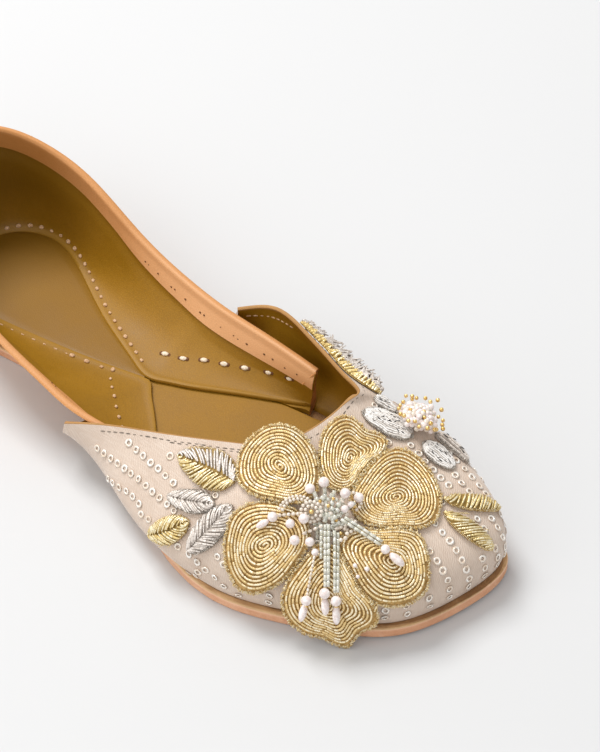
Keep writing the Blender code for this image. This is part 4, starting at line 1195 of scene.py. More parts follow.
def buildVamp():
    edge, _ = downFromThroat(vampMesh["edgeWidth"])
    outer = np.concatenate((vampOuter[:, :-1], edge[:, None], vampOuter[:, -1:]), axis=1)
    rim, inside = vampOuter[:, -1], vampInner[:, -1]
    away = unit(vampOuter[:, -1] - vampOuter[:, -3])
    roll = []
    for k in range(1, vampMesh["roll"] + 1):
        share = k / (vampMesh["roll"] + 1)
        roll.append(rim + (inside - rim) * share + away * 0.32 * math.sin(math.pi * share))
    loops = np.concatenate((outer, np.stack(roll, axis=1), vampInner[:, ::-1]), axis=1)
    flat = clothPlaces()
    edgeFlat = flat[:, -1:]
    uv = np.concatenate((flat[:, :-1], edgeFlat, edgeFlat, *[edgeFlat] * vampMesh["roll"], flat[:, ::-1]), axis=1)
    up = vampMesh["up"]
    slots = [0] * (up - 1) + [1] * (vampMesh["roll"] + 3) + [2] * (up - 2) + [2]
    slots += [2] * (loops.shape[1] - len(slots))
    bundle = newBundle()
    addLoft(bundle, loops, slots, uv.reshape(-1, 2))
    around = np.tile(np.arange(loops.shape[1]), loops.shape[0])
    wearAndPaintedLight = np.where((around >= up) & (around < up + vampMesh["roll"] + 1), 0.3, 0.0)
    # slight painted shade over the lining inside the vamp
    shade = np.where(around > up + vampMesh["roll"] + 1, 0.08, 0.0)
    materials = ("silkCloth", "edgeLeather", "liningLeather")
    piece = newPiece("vampSilk", bundle, materials, True, 45.0, {"wearAndPaintedLight": wearAndPaintedLight, "shade": shade})
    seat(piece, "raw_silk", "vamp")


buildSole()
buildInsole()
buildSock()
buildBack()
buildVamp()
print("upper and sole made")


# Flower of laid cord: its plane faces up and forward, to the outer side

flower = {
    "centre": (198.8, -6.5, 32.1),
    "turn": 48.0,
    "tilt": 47.0,
    "castHeight": 60.0,
    "floor": 1.2,
    "clear": gap + 0.12,
    "padRise": ((1.02, 0.30), (0.97, 0.80), (0.84, 1.0), (0.45, 1.15), (0.0, 1.15)),  # share of the petal, height
    "cordStep": 0.34,
    "cordPiece": (4.0, 10.0),  # the cord is cut into pieces this long
    "stretch": 0.30,  # how much the innermost turns are drawn out towards the heart
    "wander": 0.10,
    "outerShare": 0.955,
    "coil": {"Spacing": 0.40, "Long": 0.85, "Wide": 1.65, "High": 1.30, "Jitter": 0.26, "Seed": 5, "Finish": "goldCoil"},
    "coilShare": 1.03,
    "fuzz": 0.20,
    "petals": {  # centre of the spiral across and along, stiffness of the sheet, radii round the spiral, cord
        "petal_1": (-14.4, 15.6, 3.0e4,
                    (11.9, 11.5, 11.7, 12.4, 12.8, 12.7, 12.5, 12.9, 13.3, 13.4, 12.0, 10.6, 10.6, 12.2, 13.5, 13.1), 1.02),
        "petal_2": (-19.1, -9.4, 3.0e4,
                    (13.2, 14.4, 14.4, 13.3, 13.1, 13.4, 13.5, 12.6, 12.5, 13.3, 15.0, 16.2, 14.4, 12.4, 11.3, 11.5), 1.10),
        "petal_3": (0.9, -27.3, 3.0e5,
                    (13.4, 10.4, 10.8, 13.2, 17.9, 15.7, 13.7, 13.8, 14.2, 13.7, 12.8, 12.0, 12.4, 15.6, 13.9, 16.3), 1.04),
        "petal_4": (21.2, -14.6, 3.0e4,
                    (11.3, 11.4, 11.6, 10.4, 9.8, 10.5, 14.1, 17.5, 14.2, 12.7, 12.8, 13.5, 13.7, 13.9, 13.8, 12.4), 1.08),
        "petal_5": (22.8, 5.6, 3.0e4,
                    (14.0, 13.4, 13.5, 14.4, 14.8, 13.3, 12.2, 12.4, 14.0, 13.7, 11.6, 9.8, 9.1, 10.0, 12.8, 14.3), 0.94),
        "petal_6": (8.1, 18.0, 3.0e4,
                    (7.9, 12.6, 10.8, 10.4, 12.8, 12.7, 11.4, 10.1, 9.6, 10.0, 10.7, 10.8, 9.3, 6.6, 5.8, 6.1), 0.88),
    },
}
flowerNormal = np.array(backDirection(flower["turn"], flower["tilt"]))
flowerAcross = np.array((math.cos(math.radians(flower["turn"])), math.sin(math.radians(flower["turn"])), 0.0))
flowerAlong = np.cross(flowerNormal, flowerAcross)


def flowerPoint(across, along, height):
    across, along, height = (np.asarray(value, float)[..., None] for value in (across, along, height))
    return np.array(flower["centre"]) + flowerAcross * across + flowerAlong * along + flowerNormal * height


def heightOver(tree, across, along):
    start = Vector(flowerPoint(across, along, flower["castHeight"]))
    place, facing, _, distance = tree.ray_cast(start, Vector(-flowerNormal))
    if place is None:
        return None, 0.0
    return flower["castHeight"] - distance, abs(float(np.array(facing) @ flowerNormal))


def levelOver(tree, across, along, missing=-10.0):
    height, _ = heightOver(tree, across, along)
    return missing if height is None else height


def petalReach(row, angles):
    radii = row[3]
    knots = np.arange(-len(radii), 2 * len(radii) + 1) * turn / len(radii)
    values = np.array([radii[i % len(radii)] for i in range(len(knots))])
    return splineValues(knots, values[:, None], np.mod(angles, turn))[:, 0]


def petalRing(row, share, count):
    angles = np.arange(count) * turn / count
    reach = share * petalReach(row, angles)
    return row[0] + reach * np.cos(angles), row[1] + reach * np.sin(angles)


def loopReach(row, angles, share):
    mean = float(np.mean(row[3]))
    axis = math.atan2(row[1], row[0])
    oval = mean * (1.0 + flower["stretch"] * (1.0 - share) ** 2 * np.cos(2.0 * (angles - axis)))
    return share * (oval + (petalReach(row, angles) - mean) * smoothStep(share, 0.0, 0.6))


def petalTerms(row, across, along):
    u, v = across - row[0], along - row[1]
    return np.stack((np.ones_like(u), u, v, u * u, u * v, v * v), axis=-1)


def petalSheet(tree, soleTree, row):
    over, clear = [], []
    for share in np.linspace(0.1, 1.0, 10):
        for across, along in zip(*petalRing(row, share, 40)):
            height, facing = heightOver(tree, across, along)
            if height is not None and facing > 0.3 and height > -20.0:
                over.append((across, along, height, facing))
                clear.append((across, along, height + flower["clear"] / facing))
            height, _ = heightOver(soleTree, across, along)
            if height is not None:
                clear.append((across, along, height + 2.0 * gap))
            floor = (flower["floor"] - flowerPoint(across, along, 0.0)[2]) / flowerNormal[2]
            clear.append((across, along, floor))
    over, clear = np.array(over), np.array(clear)
    good = over[over[:, 3] > 0.5]
    terms = petalTerms(row, good[:, 0], good[:, 1])
    stiff = np.diag([0.0, 0.0, 0.0, row[2], row[2], row[2]])
    sheet = np.linalg.solve(terms.T @ terms + stiff, terms.T @ good[:, 2])
    clearTerms = petalTerms(row, clear[:, 0], clear[:, 1])
    best = None
    for tiltAcross in np.linspace(-0.3, 0.3, 13):
        for tiltAlong in np.linspace(-0.8, 0.8, 33):
            trial = sheet + np.array((0.0, tiltAcross, tiltAlong, 0.0, 0.0, 0.0))
            trial[0] += np.max(clear[:, 2] - clearTerms @ trial)
            apart = float(np.mean(terms @ trial - good[:, 2]))
            if best is None or apart < best[0]:
                best = (apart, trial)
    return best[1]


def padHeight(share):
    shares, heights = np.array(flower["padRise"][::-1]).T
    return np.interp(share, shares, heights)


def petalSpiral(row, sheet, seed):
    mean = float(np.mean(row[3]))
    turns = mean * flower["outerShare"] / row[4]
    angle = np.linspace(0.0, turn * turns, int(turns * 90))
    share = flower["outerShare"] * (1.0 - angle / angle[-1]) + 0.02
    reach = loopReach(row, angle, share)
    reach += flower["wander"] * np.sin(angle * 3.7 + seed) * np.sin(angle * 0.61 + 2.0 * seed)
    across, along = row[0] + reach * np.cos(angle), row[1] + reach * np.sin(angle)
    height = petalTerms(row, across, along) @ sheet + padHeight(share) + row[4] * 0.25
    height += 0.06 * np.sin(angle * 5.3 + seed)
    return steadyCurve(flowerPoint(across, along, height), flower["cordStep"])


def cutRadius(count, thick, chance):
    radius = np.full(count, 0.5 * thick)
    first = 0
    while first < count:
        last = min(first + int(chance.uniform(*flower["cordPiece"]) / flower["cordStep"]), count - 1)
        radius[first:last] *= chance.uniform(0.86, 1.06)
        radius[last] *= 0.4
        first = last + 1
    return radius


def buildPetal(name, row, sheet, seed):
    chance = np.random.default_rng(int(seed * 10))
    bundle = newBundle()
    around = 96
    loops = []
    under = [(0.0, 0.0), (0.5, 0.0), (0.995, 0.0)]
    for share, rise in under + list(flower["padRise"]):
        across, along = petalRing(row, share, around)
        loops.append(flowerPoint(across, along, petalTerms(row, across, along) @ sheet + rise))
    quads = gridFaces(len(loops), around, True)
    addPart(bundle, loops, quads, np.zeros((quads.size, 2)), 0)
    spiral = petalSpiral(row, sheet, seed)
    addTube(bundle, spiral, cutRadius(len(spiral), row[4], chance), flowerNormal, 7, 1)
    plate = newPiece(name + "Plate", bundle, ("underlay", "goldCord"), True, 60.0)
    across, along = petalRing(row, flower["coilShare"], 160)
    across, along = (values + chance.normal(0.0, flower["fuzz"], 160) for values in (across, along))
    height = petalTerms(row, across, along) @ sheet + 0.55
    ring = flowerPoint(across, along, height)
    ring = np.vstack((ring, ring[:1]))
    coil = studMesh(name + "Coil", "coil", [{"points": ring, "facing": flowerNormal}], flower["coil"])
    pieceMesh = plate.data
    bpy.data.objects.remove(plate)
    seat(joinMeshes(name + "Cord", [pieceMesh, coil]), "gold_cord", name)
    return loops[3:]


def loopsTree(allLoops):
    points, faces, first = [], [], 0
    for loops in allLoops:
        loops = np.asarray(loops, float)
        points.append(loops.reshape(-1, 3))
        faces.append(gridFaces(*loops.shape[:2], True) + first)
        first += loops.shape[0] * loops.shape[1]
    return surfaceTree(np.concatenate(points), np.concatenate(faces))


soleTree = loopsTree([slabLoops(soleInset, 0.0, sole["thickness"], sole["bevel"], 60)])
petalTops = []
for number, (name, row) in enumerate(flower["petals"].items()):
    petalTops.append(buildPetal(name, row, petalSheet(vampTree, soleTree, row), 1.7 * number + 0.4))
petalTree = loopsTree(petalTops)
print("flower made")


# Heart of the flower: pearls, rice pearls, strung beads and clear seeds

heart = {
    "cordTop": 0.9,  # the laid cord stands this high over its pad
    "pearls": (  # across, along, size, lift
        (-0.4, 10.7, 3.5, 0.6), (-4.8, 8.6, 3.4, 0.6), (6.4, 7.2, 3.4, 0.8), (10.8, 5.6, 3.4, 0.3),
        (-16.7, -0.3, 3.4, 0.3), (-11.1, -2.4, 3.1, 0.5), (-6.8, -0.8, 3.4, 1.6), (-9.7, -7.6, 3.4, 0.4),
        (-4.9, -8.1, 3.1, 0.6), (-3.2, -11.4, 2.5, 0.3), (19.1, -10.5, 3.2, 0.3),
        (-6.0, -26.7, 3.4, 0.2), (-0.2, -24.3, 3.6, 0.4), (3.4, -26.7, 3.5, 0.2), (9.4, -15.5, 1.5, 0.1),
        (13.2, -16.6, 1.6, 0.1), (10.3, -19.0, 1.3, 0.1), (6.3, 2.2, 2.6, 1.2), (8.2, 3.6, 2.2, 1.0),
    ),
    "rice": (  # from and to, across and along, width
        (-18.0, -1.5, -21.8, -3.6, 2.3), (20.5, -11.8, 24.9, -15.6, 2.8), (-6.3, -28.0, -7.8, -33.4, 2.6),
        (-0.1, -25.9, 0.1, -31.2, 2.7), (3.5, -28.3, 3.6, -34.2, 2.7),
    ),
    "strands": (  # from, to, width, length of a bead, finish
        (-3.4, -12.4, -5.8, -25.2, 0.95, 1.3, "seedPearl"), (-2.4, -3.0, -2.6, -9.0, 1.15, 1.5, "crystal"),
        (-1.2, -2.6, -1.3, -13.5, 1.15, 1.7, "crystal"), (0.0, -2.6, 0.0, -22.4, 1.15, 1.8, "crystal"),
        (1.1, -2.6, 1.0, -22.2, 1.15, 1.8, "crystal"), (3.0, -4.5, 3.0, -24.2, 1.05, 2.0, "crystal"),
        (4.1, -5.2, 4.0, -24.0, 1.05, 2.0, "crystal"), (5.0, -1.0, 17.6, -9.2, 1.1, 2.3, "crystal"),
        (6.2, -0.4, 18.2, -8.2, 1.05, 2.3, "crystal"), (2.2, -2.6, 2.0, -7.0, 1.15, 1.5, "crystal"),
        (-5.0, 1.0, -15.2, 0.1, 1.3, 1.4, "seedPearl"), (0.2, -1.5, -3.6, 7.6, 1.4, 1.9, "crystal"),
        (0.6, -1.0, -0.2, 9.0, 1.4, 1.9, "crystal"), (1.2, -1.0, 3.0, 8.2, 1.4, 1.9, "crystal"),
        (1.6, -1.2, 6.0, 5.8, 1.4, 1.9, "crystal"), (2.0, -1.6, 9.6, 4.2, 1.4, 1.9, "crystal"),
        (2.0, -3.0, 8.4, -2.4, 1.4, 1.9, "crystal"), (-0.5, -3.0, -7.4, -5.8, 1.3, 1.6, "seedPearl"),
    ),
    "rings": (  # centre across and along, radius, first and last angle, size of a seed, lift
        (-4.4, 1.4, 3.2, 0.0, 360.0, 1.35, 2.4), (-8.6, 0.0, 5.3, 50.0, 172.0, 1.2, 1.2),
        (-8.6, -0.3, 6.5, 62.0, 168.0, 1.2, 0.8), (8.6, 4.4, 3.0, -60.0, 200.0, 1.2, 1.0),
        (5.0, -5.6, 2.0, 0.0, 360.0, 1.5, 1.0), (8.3, -3.2, 1.8, 0.0, 360.0, 1.4, 0.8),
        (-4.4, 1.4, 1.9, 0.0, 360.0, 1.3, 3.0),
    ),
    "goldBeads": (
        (-4.4, 1.4, 1.7, 3.6), (1.0, 3.2, 1.3, 2.4), (3.6, -1.4, 1.2, 2.0), (9.2, 2.8, 1.3, 1.4), (-1.6, 4.6, 1.2, 2.0),
        (5.0, -5.6, 1.3, 1.2), (2.6, 5.4, 1.2, 1.6), (-6.1, -28.6, 1.5, -0.2),
        (-0.1, -26.2, 1.6, -0.2), (3.5, -28.6, 1.6, -0.2), (20.7, -12.0, 1.5, -0.2), (-18.2, -1.7, 1.4, -0.2),
    ),
    "seeds": {"count": 44, "radius": 6.6, "rise": 2.0, "centre": (1.2, 0.8), "size": 1.4},
}


def overPetals(across, along, size):
    spots = [(across, along), (across - size / 3, along), (across + size / 3, along), (across, along + size / 3)]
    return max(levelOver(petalTree, *spot, missing=1.0) for spot in spots) + heart["cordTop"]


def beadSpot(across, along, size, lift):
    return flowerPoint(across, along, overPetals(across, along, size) + lift + 0.42 * size)


def beadPath(spots, sizes, heading=(1.0, 0.0, 0.0), facing=None):
    return {
        "points": np.array(spots),
        "facing": flowerNormal if facing is None else facing,
        "heading": heading,
        "size": np.array(sizes),
    }


def buildHeart():
    unitBead = {"Long": 1.0, "Wide": 1.0, "High": 1.0, "Jitter": 0.0}
    pearls = [beadPath([beadSpot(*row)], [(row[2],) * 3]) for row in heart["pearls"]]
    for a, b, c, d, width in heart["rice"]:
        middle, length = ((a + c) / 2, (b + d) / 2), math.hypot(c - a, d - b) + 0.4
        heading = flowerAcross * (c - a) + flowerAlong * (d - b)
        pearls.append(beadPath([beadSpot(*middle, width, 0.1)], [(length, width, width)], heading))
    meshes = [studMesh("heartPearls", "pearl", pearls, {**unitBead, "Finish": "pearl"}, True)]
    strung = {"seedPearl": [], "crystal": []}
    for a, b, c, d, width, length, finish in heart["strands"]:
        count = int(math.hypot(c - a, d - b) / length)
        share = (np.arange(count) + 0.5) / count
        across, along = a + (c - a) * share, b + (d - b) * share
        level = np.array([overPetals(u, v, width) for u, v in zip(across, along)])
        lean = np.maximum.accumulate((level + 2.2 * (1.0 - share) ** 2)[::-1])[::-1]
        level = np.minimum(lean, level + 3.0)
        level = np.convolve(np.pad(level, 2, mode="edge"), np.ones(5) / 5.0, "valid")
        points = flowerPoint(across, along, level + 0.5 * width)
        heading = flowerAcross * (c - a) + flowerAlong * (d - b)
        strung[finish].append(beadPath(points, [(length * 1.04, width, width)] * count, heading))
    for u, v, radius, first, last, size, lift in heart["rings"]:
        count = int(radius * math.radians(last - first) / (size * 0.98))
        angles = np.radians(first + (last - first) * np.arange(count) / count)
        spots = [beadSpot(u + radius * math.cos(a), v + radius * math.sin(a), size, lift) for a in angles]
        strung["seedPearl"].append(beadPath(spots, [(size,) * 3] * count))
    dome = heart["seeds"]
    chance = np.random.default_rng(11)
    for number in range(dome["count"]):
        reach = dome["radius"] * math.sqrt((number + 0.5) / dome["count"])
        angle = number * 2.399963
        u, v = dome["centre"][0] + reach * math.cos(angle), dome["centre"][1] + reach * math.sin(angle)
        rise = dome["rise"] * (1.0 - (reach / dome["radius"]) ** 2) + chance.uniform(-0.3, 0.5)
        size = dome["size"] * chance.uniform(0.8, 1.15)
        finish = "crystal" if chance.uniform() < 0.55 else "seedPearl"
        strung[finish].append(beadPath([beadSpot(u, v, size, rise)], [(size,) * 3]))
    for finish, paths in strung.items():
        shape = "bugle" if finish == "crystal" else "bead"
        meshes.append(studMesh("heart" + finish, shape, paths, {**unitBead, "Finish": finish}, True))
    gold = [beadPath([beadSpot(*row)], [(row[2],) * 3]) for row in heart["goldBeads"]]
    meshes.append(studMesh("heartGold", "bead", gold, {**unitBead, "Finish": "goldBead"}, True))
    seat(joinMeshes("heartBeads", meshes), "pearl", "flower_heart", *[f"pearl_drop_{k}" for k in range(1, 6)])


buildHeart()
print("heart made")


# Leaves: wire strands laid over a pad, with a coil of wire along the edge

leafShape = {
    "clear": gap + 0.12,
    "middle": (170.0, 4.0, 5.0),
    "sections": 30,
    "pitch": 1.12,
    "radius": 0.50,
    "strandPoints": 7,
    "edge": {"Spacing": 0.46, "Long": 0.60, "Wide": 1.15, "High": 1.05, "Jitter": 0.18, "Seed": 9},
    "strays": 4,
    "rounding": 0.10,
    # the leaf along the throat: gold strands on its near side, silver spikes over its top
    "gold": {"from": 1.0, "to": 0.56, "pitch": 1.0, "lean": (-0.05, 0.02), "lift": 0.08, "radius": 0.62},
    "spikes": {"from": 0.62, "to": -0.25, "pitch": 0.62, "lean": (-0.10, 0.12), "lift": 0.55, "radius": 0.62},
}
leaves = {  # base and tip on the vamp as angle and share, half width, height, slant of the strands, finishes
    "leaf_1": ((-60.0, 0.820), (-74.8, 0.885), 6.4, 2.0, 0.17, ("goldWire", "silverWire", "goldCoil")),
    "leaf_2": ((-62.0, 0.690), (-71.5, 0.650), 3.6, 1.8, -0.24, ("silverWire", "silverWire", "darkWire")),
    "leaf_3": ((-58.2, 0.710), (-63.8, 0.375), 4.7, 1.8, -0.20, ("silverWire", "silverWire", "darkWire")),
    "leaf_4": ((-65.4, 0.560), (-72.2, 0.320), 4.2, 1.8, -0.22, ("goldWire", "goldWire", "goldCoil")),
    "leaf_5": ((42.5, 0.870), (84.0, 0.960), 4.2, 5.2, 0.06, ("goldWire", "silverWire", None)),
    "leaf_6": ((6.9, 0.600), (15.6, 0.325), 3.0, 2.0, 0.10, ("goldWire", None, "goldCoil")),
    "leaf_7": ((4.4, 0.560), (5.0, 0.240), 3.2, 2.0, 0.30, ("goldWire", None, "goldCoil")),
}
leafPads = {"goldWire": "wireUnder", "silverWire": "silverUnder", "silverFoil": "silverUnder"}


def vampPoint(angle, share):
    rib = vampRib(math.radians(angle), 41)
    return np.array([np.interp(share, np.linspace(0.0, 1.0, 41), rib[:, axis]) for axis in range(3)])


def outwardAt(point):
    place, facing, _, _ = vampTree.find_nearest(Vector(point))
    place, facing = np.array(place), np.array(facing)
    return place, facing if facing @ (place - leafShape["middle"]) > 0.0 else -facing


def leafFrame(row):
    (baseAngle, baseShare), (tipAngle, tipShare), half, height = row[:4]
    places = 0.5 - 0.5 * np.cos(np.linspace(0.0, math.pi, leafShape["sections"]))
    angles = baseAngle + (tipAngle - baseAngle) * places
    shares = baseShare + (tipShare - baseShare) * places
    middles = np.array([vampPoint(*spot) for spot in zip(angles, shares)])
    facings = np.array([outwardAt(middle)[1] for middle in middles])
    sides = unit(np.cross(facings, np.gradient(middles, axis=0)))
    full = np.sin(math.pi * (0.06 + 0.88 * places**0.85)) ** 0.8
    full *= np.sqrt(np.clip(np.minimum(places, 1.0 - places) / leafShape["rounding"], 0.02, 1.0))
    return {"places": places, "middles": middles, "facings": facings, "sides": sides, "full": full,
            "half": half, "height": height, "high": height > 4.0}


def leafPoint(leaf, place, across, rise):
    middle, side, facing = (
        np.array([np.interp(place, leaf["places"], leaf[key][:, axis]) for axis in range(3)])
        for key in ("middles", "sides", "facings")
    )
    full = float(np.interp(place, leaf["places"], leaf["full"]))
    spot, local = outwardAt(middle + side * across * leaf["half"] * full)
    return spot + local * leafShape["clear"] + facing * rise * leaf["height"] * (0.4 + 0.6 * full)


def padRise(across, halves, high=False):
    reach = min(abs(across), 1.0)
    if high:
        return 0.04 + 0.72 * (1.0 - reach**2.0)
    if halves:
        return 0.36 + 0.44 * math.sin(math.pi * (0.16 + 0.84 * reach)) ** 0.8
    return 0.30 + 0.55 * (1.0 - reach * reach)


def addPad(bundle, leaf, halves, slot, thick=0.8):
    around = [(across, 0.0) for across in np.linspace(-1.0, 1.0, 5)]
    rise = [thick * padRise(across, halves, leaf["high"]) for across in np.linspace(1.0, -1.0, 11)]
    around += list(zip(np.linspace(1.0, -1.0, 11), rise))
    loops = [[leafPoint(leaf, place, *spot) for spot in around] for place in leaf["places"]]
    addLoft(bundle, loops, [slot] * len(around), np.zeros((len(around) * len(loops), 2)))


def addStrand(bundle, leaf, start, end, halves, slot, chance, radius):
    share = np.linspace(0.0, 1.0, leafShape["strandPoints"])
    lift = chance.uniform(-0.05, 0.22)
    line = []
    for t in share:
        place = start[0] + (end[0] - start[0]) * t
        across = start[1] + (end[1] - start[1]) * t
        line.append(leafPoint(leaf, place, across, padRise(across, halves, leaf["high"]) * 0.86 + lift + 0.06))
    swell = 0.55 + 0.45 * np.sin(math.pi * (0.08 + 0.84 * share))
    thick = radius * chance.uniform(0.75, 1.25) * swell
    facing = outwardAt(line[3])[1]
    addTube(bundle, line, thick, facing, 6, slot, 1.0, chance.uniform(0.0, 40.0))


def leafStrands(bundle, leaf, row, slots, chance):
    length = float(np.sum(np.linalg.norm(np.diff(leaf["middles"], axis=0), axis=1)))
    slant, halves = row[4], row[5][1] is not None
    wide = 1.0 + abs(slant)
    count = int(length * wide / leafShape["pitch"])
    for k in range(count):
        place = wide * ((k + 0.5 + chance.uniform(-0.22, 0.22)) / count - 0.5) + 0.5
        tilt = slant + chance.uniform(-0.05, 0.05)
        low, high = np.clip((place - 0.5 * tilt, place + 0.5 * tilt), 0.012, 0.988)
        if not halves:
            addStrand(bundle, leaf, (low, -0.92), (high, 0.96), False, slots[0], chance, leafShape["radius"])
            continue
        for across, slot in ((-0.97, slots[1]),) if leaf["high"] else zip((0.97, -0.97), slots):
            reach = across * chance.uniform(0.90, 1.12)
            addStrand(bundle, leaf, (low, 0.07 * across), (high, reach), True, slot, chance, leafShape["radius"])


def spikyStrands(bundle, leaf, chance):
    length = float(np.sum(np.linalg.norm(np.diff(leaf["middles"], axis=0), axis=1)))
    for spikes, row in enumerate((leafShape["gold"], leafShape["spikes"])):
        count = int(length / row["pitch"])
        for k in range(count):
            place = (k + 0.5 + chance.uniform(-0.4, 0.4)) / count
            lean = chance.uniform(*row["lean"])
            shares = np.linspace(0.0, 1.0, 6)
            lift = row["lift"] * chance.uniform(0.2, 1.0)
            line = []
            for t in shares:
                across = row["from"] + (row["to"] - row["from"]) * t
                spot = float(np.clip(place + lean * t, 0.01, 0.99))
                line.append(leafPoint(leaf, spot, across, padRise(across, True, True) * 0.9 + 0.05 + lift * t * t))
            thick = row["radius"] * chance.uniform(0.75, 1.2) * (1.0 - (0.75 if spikes else 0.25) * shares)
            addTube(bundle, line, thick, outwardAt(line[2])[1], 6, 1 + spikes, 1.0, chance.uniform(0.0, 40.0))


def addStrays(bundle, leaf, slot, chance):
    for k in range(leafShape["strays"]):
        place, across = chance.uniform(0.15, 0.95), chance.choice((-1.0, 1.0))
        reach = (1.0, 1.18, 1.30)
        line = [leafPoint(leaf, place + 0.05 * n, across * side, 0.5 + 0.25 * n) for n, side in enumerate(reach)]
        addTube(bundle, steadyCurve(line, 0.6), 0.11, outwardAt(line[1])[1], 4, slot, 1.0, 3.0 * k)


def edgePath(leaf, across, rise):
    line = np.array([leafPoint(leaf, place, across, rise) for place in leaf["places"]])
    facings = np.array([outwardAt(point)[1] for point in line])
    return {"points": line, "facing": facings}


def plateMesh(piece):
    mesh = piece.data
    bpy.data.objects.remove(piece)
    return mesh


def buildLeaf(name, row, seed):
    chance = np.random.default_rng(seed)
    leaf = leafFrame(row)
    plus, minus, edge = row[5]
    halves = minus is not None
    materials = [leafPads[plus], plus, minus or plus]
    bundle = newBundle()
    addPad(bundle, leaf, halves, 0)
    if leaf["high"]:
        spikyStrands(bundle, leaf, chance)
    leafStrands(bundle, leaf, row, (1, 2), chance)
    addStrays(bundle, leaf, 2, chance)
    mesh = plateMesh(newPiece(name + "Plate", bundle, materials, True, 60.0))
    meshes = [mesh]
    if edge:
        paths = [edgePath(leaf, across, 0.30) for across in ((-1.0, 1.0) if halves else (-1.0,))]
        meshes.append(studMesh(name + "Coil", "coil", paths, {**leafShape["edge"], "Finish": edge}))
    slot = "silver_cord" if plus == "silverWire" else "gold_cord"
    seat(joinMeshes(name + "Wire", meshes), slot, name)
    return leaf


leafFrames = [buildLeaf(name, row, 40 + k) for k, (name, row) in enumerate(leaves.items())]
print("leaves made")


# Side flower: foil petals of laid strips with wire edges, and a tuft of beads

sideShape = {"strips": 12, "radius": 0.50, "wave": 0.055, "ticks": 20, "tick": (1.5, 0.36, 0.30)}
sidePetals = {  # base and tip as angle and share, half width, height, slant, finishes
    "side_petal_1": ((15.8, 0.774), (17.6, 0.936), 5.2, 1.4, 0.0, ("silverFoil", None, "darkWire")),
    "side_petal_2": ((15.6, 0.735), (14.0, 0.610), 4.1, 1.4, 0.0, ("silverFoil", None, "darkWire")),
    "side_petal_3": ((23.5, 0.815), (33.8, 0.905), 2.3, 1.2, 0.0, ("silverFoil", None, "darkWire")),
    "side_petal_4": ((21.6, 0.665), (19.6, 0.520), 2.0, 3.0, 0.0, ("silverWire", None, "darkWire")),
}
tuft = {  # angle, share, height of the middle, then the beaded sprigs and the beads between them
    "spot": (20.8, 0.752),
    "lift": 1.5,
    "radius": 8.6,
    "height": 5.6,
    "sprigs": 24,
    "beads": 66,
    "pearl": 2.9,
    "seed": 1.45,
}


def buildSidePetal(name, row, seed):
    chance = np.random.default_rng(seed)
    leaf = leafFrame(row)
    finish, _, edge = row[5]
    bundle = newBundle()
    addPad(bundle, leaf, False, 0)
    strips = max(3, round(sideShape["strips"] * row[2] / 5.2))
    places = np.linspace(0.05, 0.95, 26)
    for k in range(strips):
        across = -0.86 + 1.72 * k / (strips - 1)
        phase = seed + 0.5 * across + chance.uniform(-0.3, 0.3)
        line = []
        for place in places:
            bend = sideShape["wave"] * (math.sin(place * 15.0 + phase) + 0.4 * math.sin(place * 37.0 + 2.0 * phase))
            line.append(leafPoint(leaf, place, across + bend, padRise(across, False) * 0.86 + 0.05))
        addTube(bundle, line, sideShape["radius"], outwardAt(line[12])[1], 6, 1, 1.0, 40.0 * chance.uniform())
    under = "foilUnder" if finish == "silverFoil" else leafPads[finish]
    mesh = plateMesh(newPiece(name + "Plate", bundle, (under, finish), True, 60.0))
    meshes = [mesh]
    paths = [edgePath(leaf, across, 0.35) for across in (-1.0, 1.0)]
    meshes.append(studMesh(name + "Coil", "coil", paths, {**leafShape["edge"], "Finish": edge}))
    ticks = []
    for k in range(round(sideShape["ticks"] * row[2] / 5.2)):
        place, across = chance.uniform(0.15, 0.85), chance.uniform(-0.7, 0.7)
        spot = leafPoint(leaf, place, across, padRise(across, False) * 0.86 + 0.36)
        ahead = leafPoint(leaf, place + 0.05, across + chance.uniform(-0.2, 0.2), padRise(across, False))
        ticks.append(beadPath([spot], [sideShape["tick"]], ahead - spot, outwardAt(spot)[1]))
    row = {"Long": 1.0, "Wide": 1.0, "High": 1.0, "Jitter": 0.25, "Seed": 4, "Finish": "inkThread"}
    meshes.append(studMesh(name + "Ticks", "bead", ticks, row, True))
    seat(joinMeshes(name + "Foil", meshes), "silver_cord", name)
    return leaf


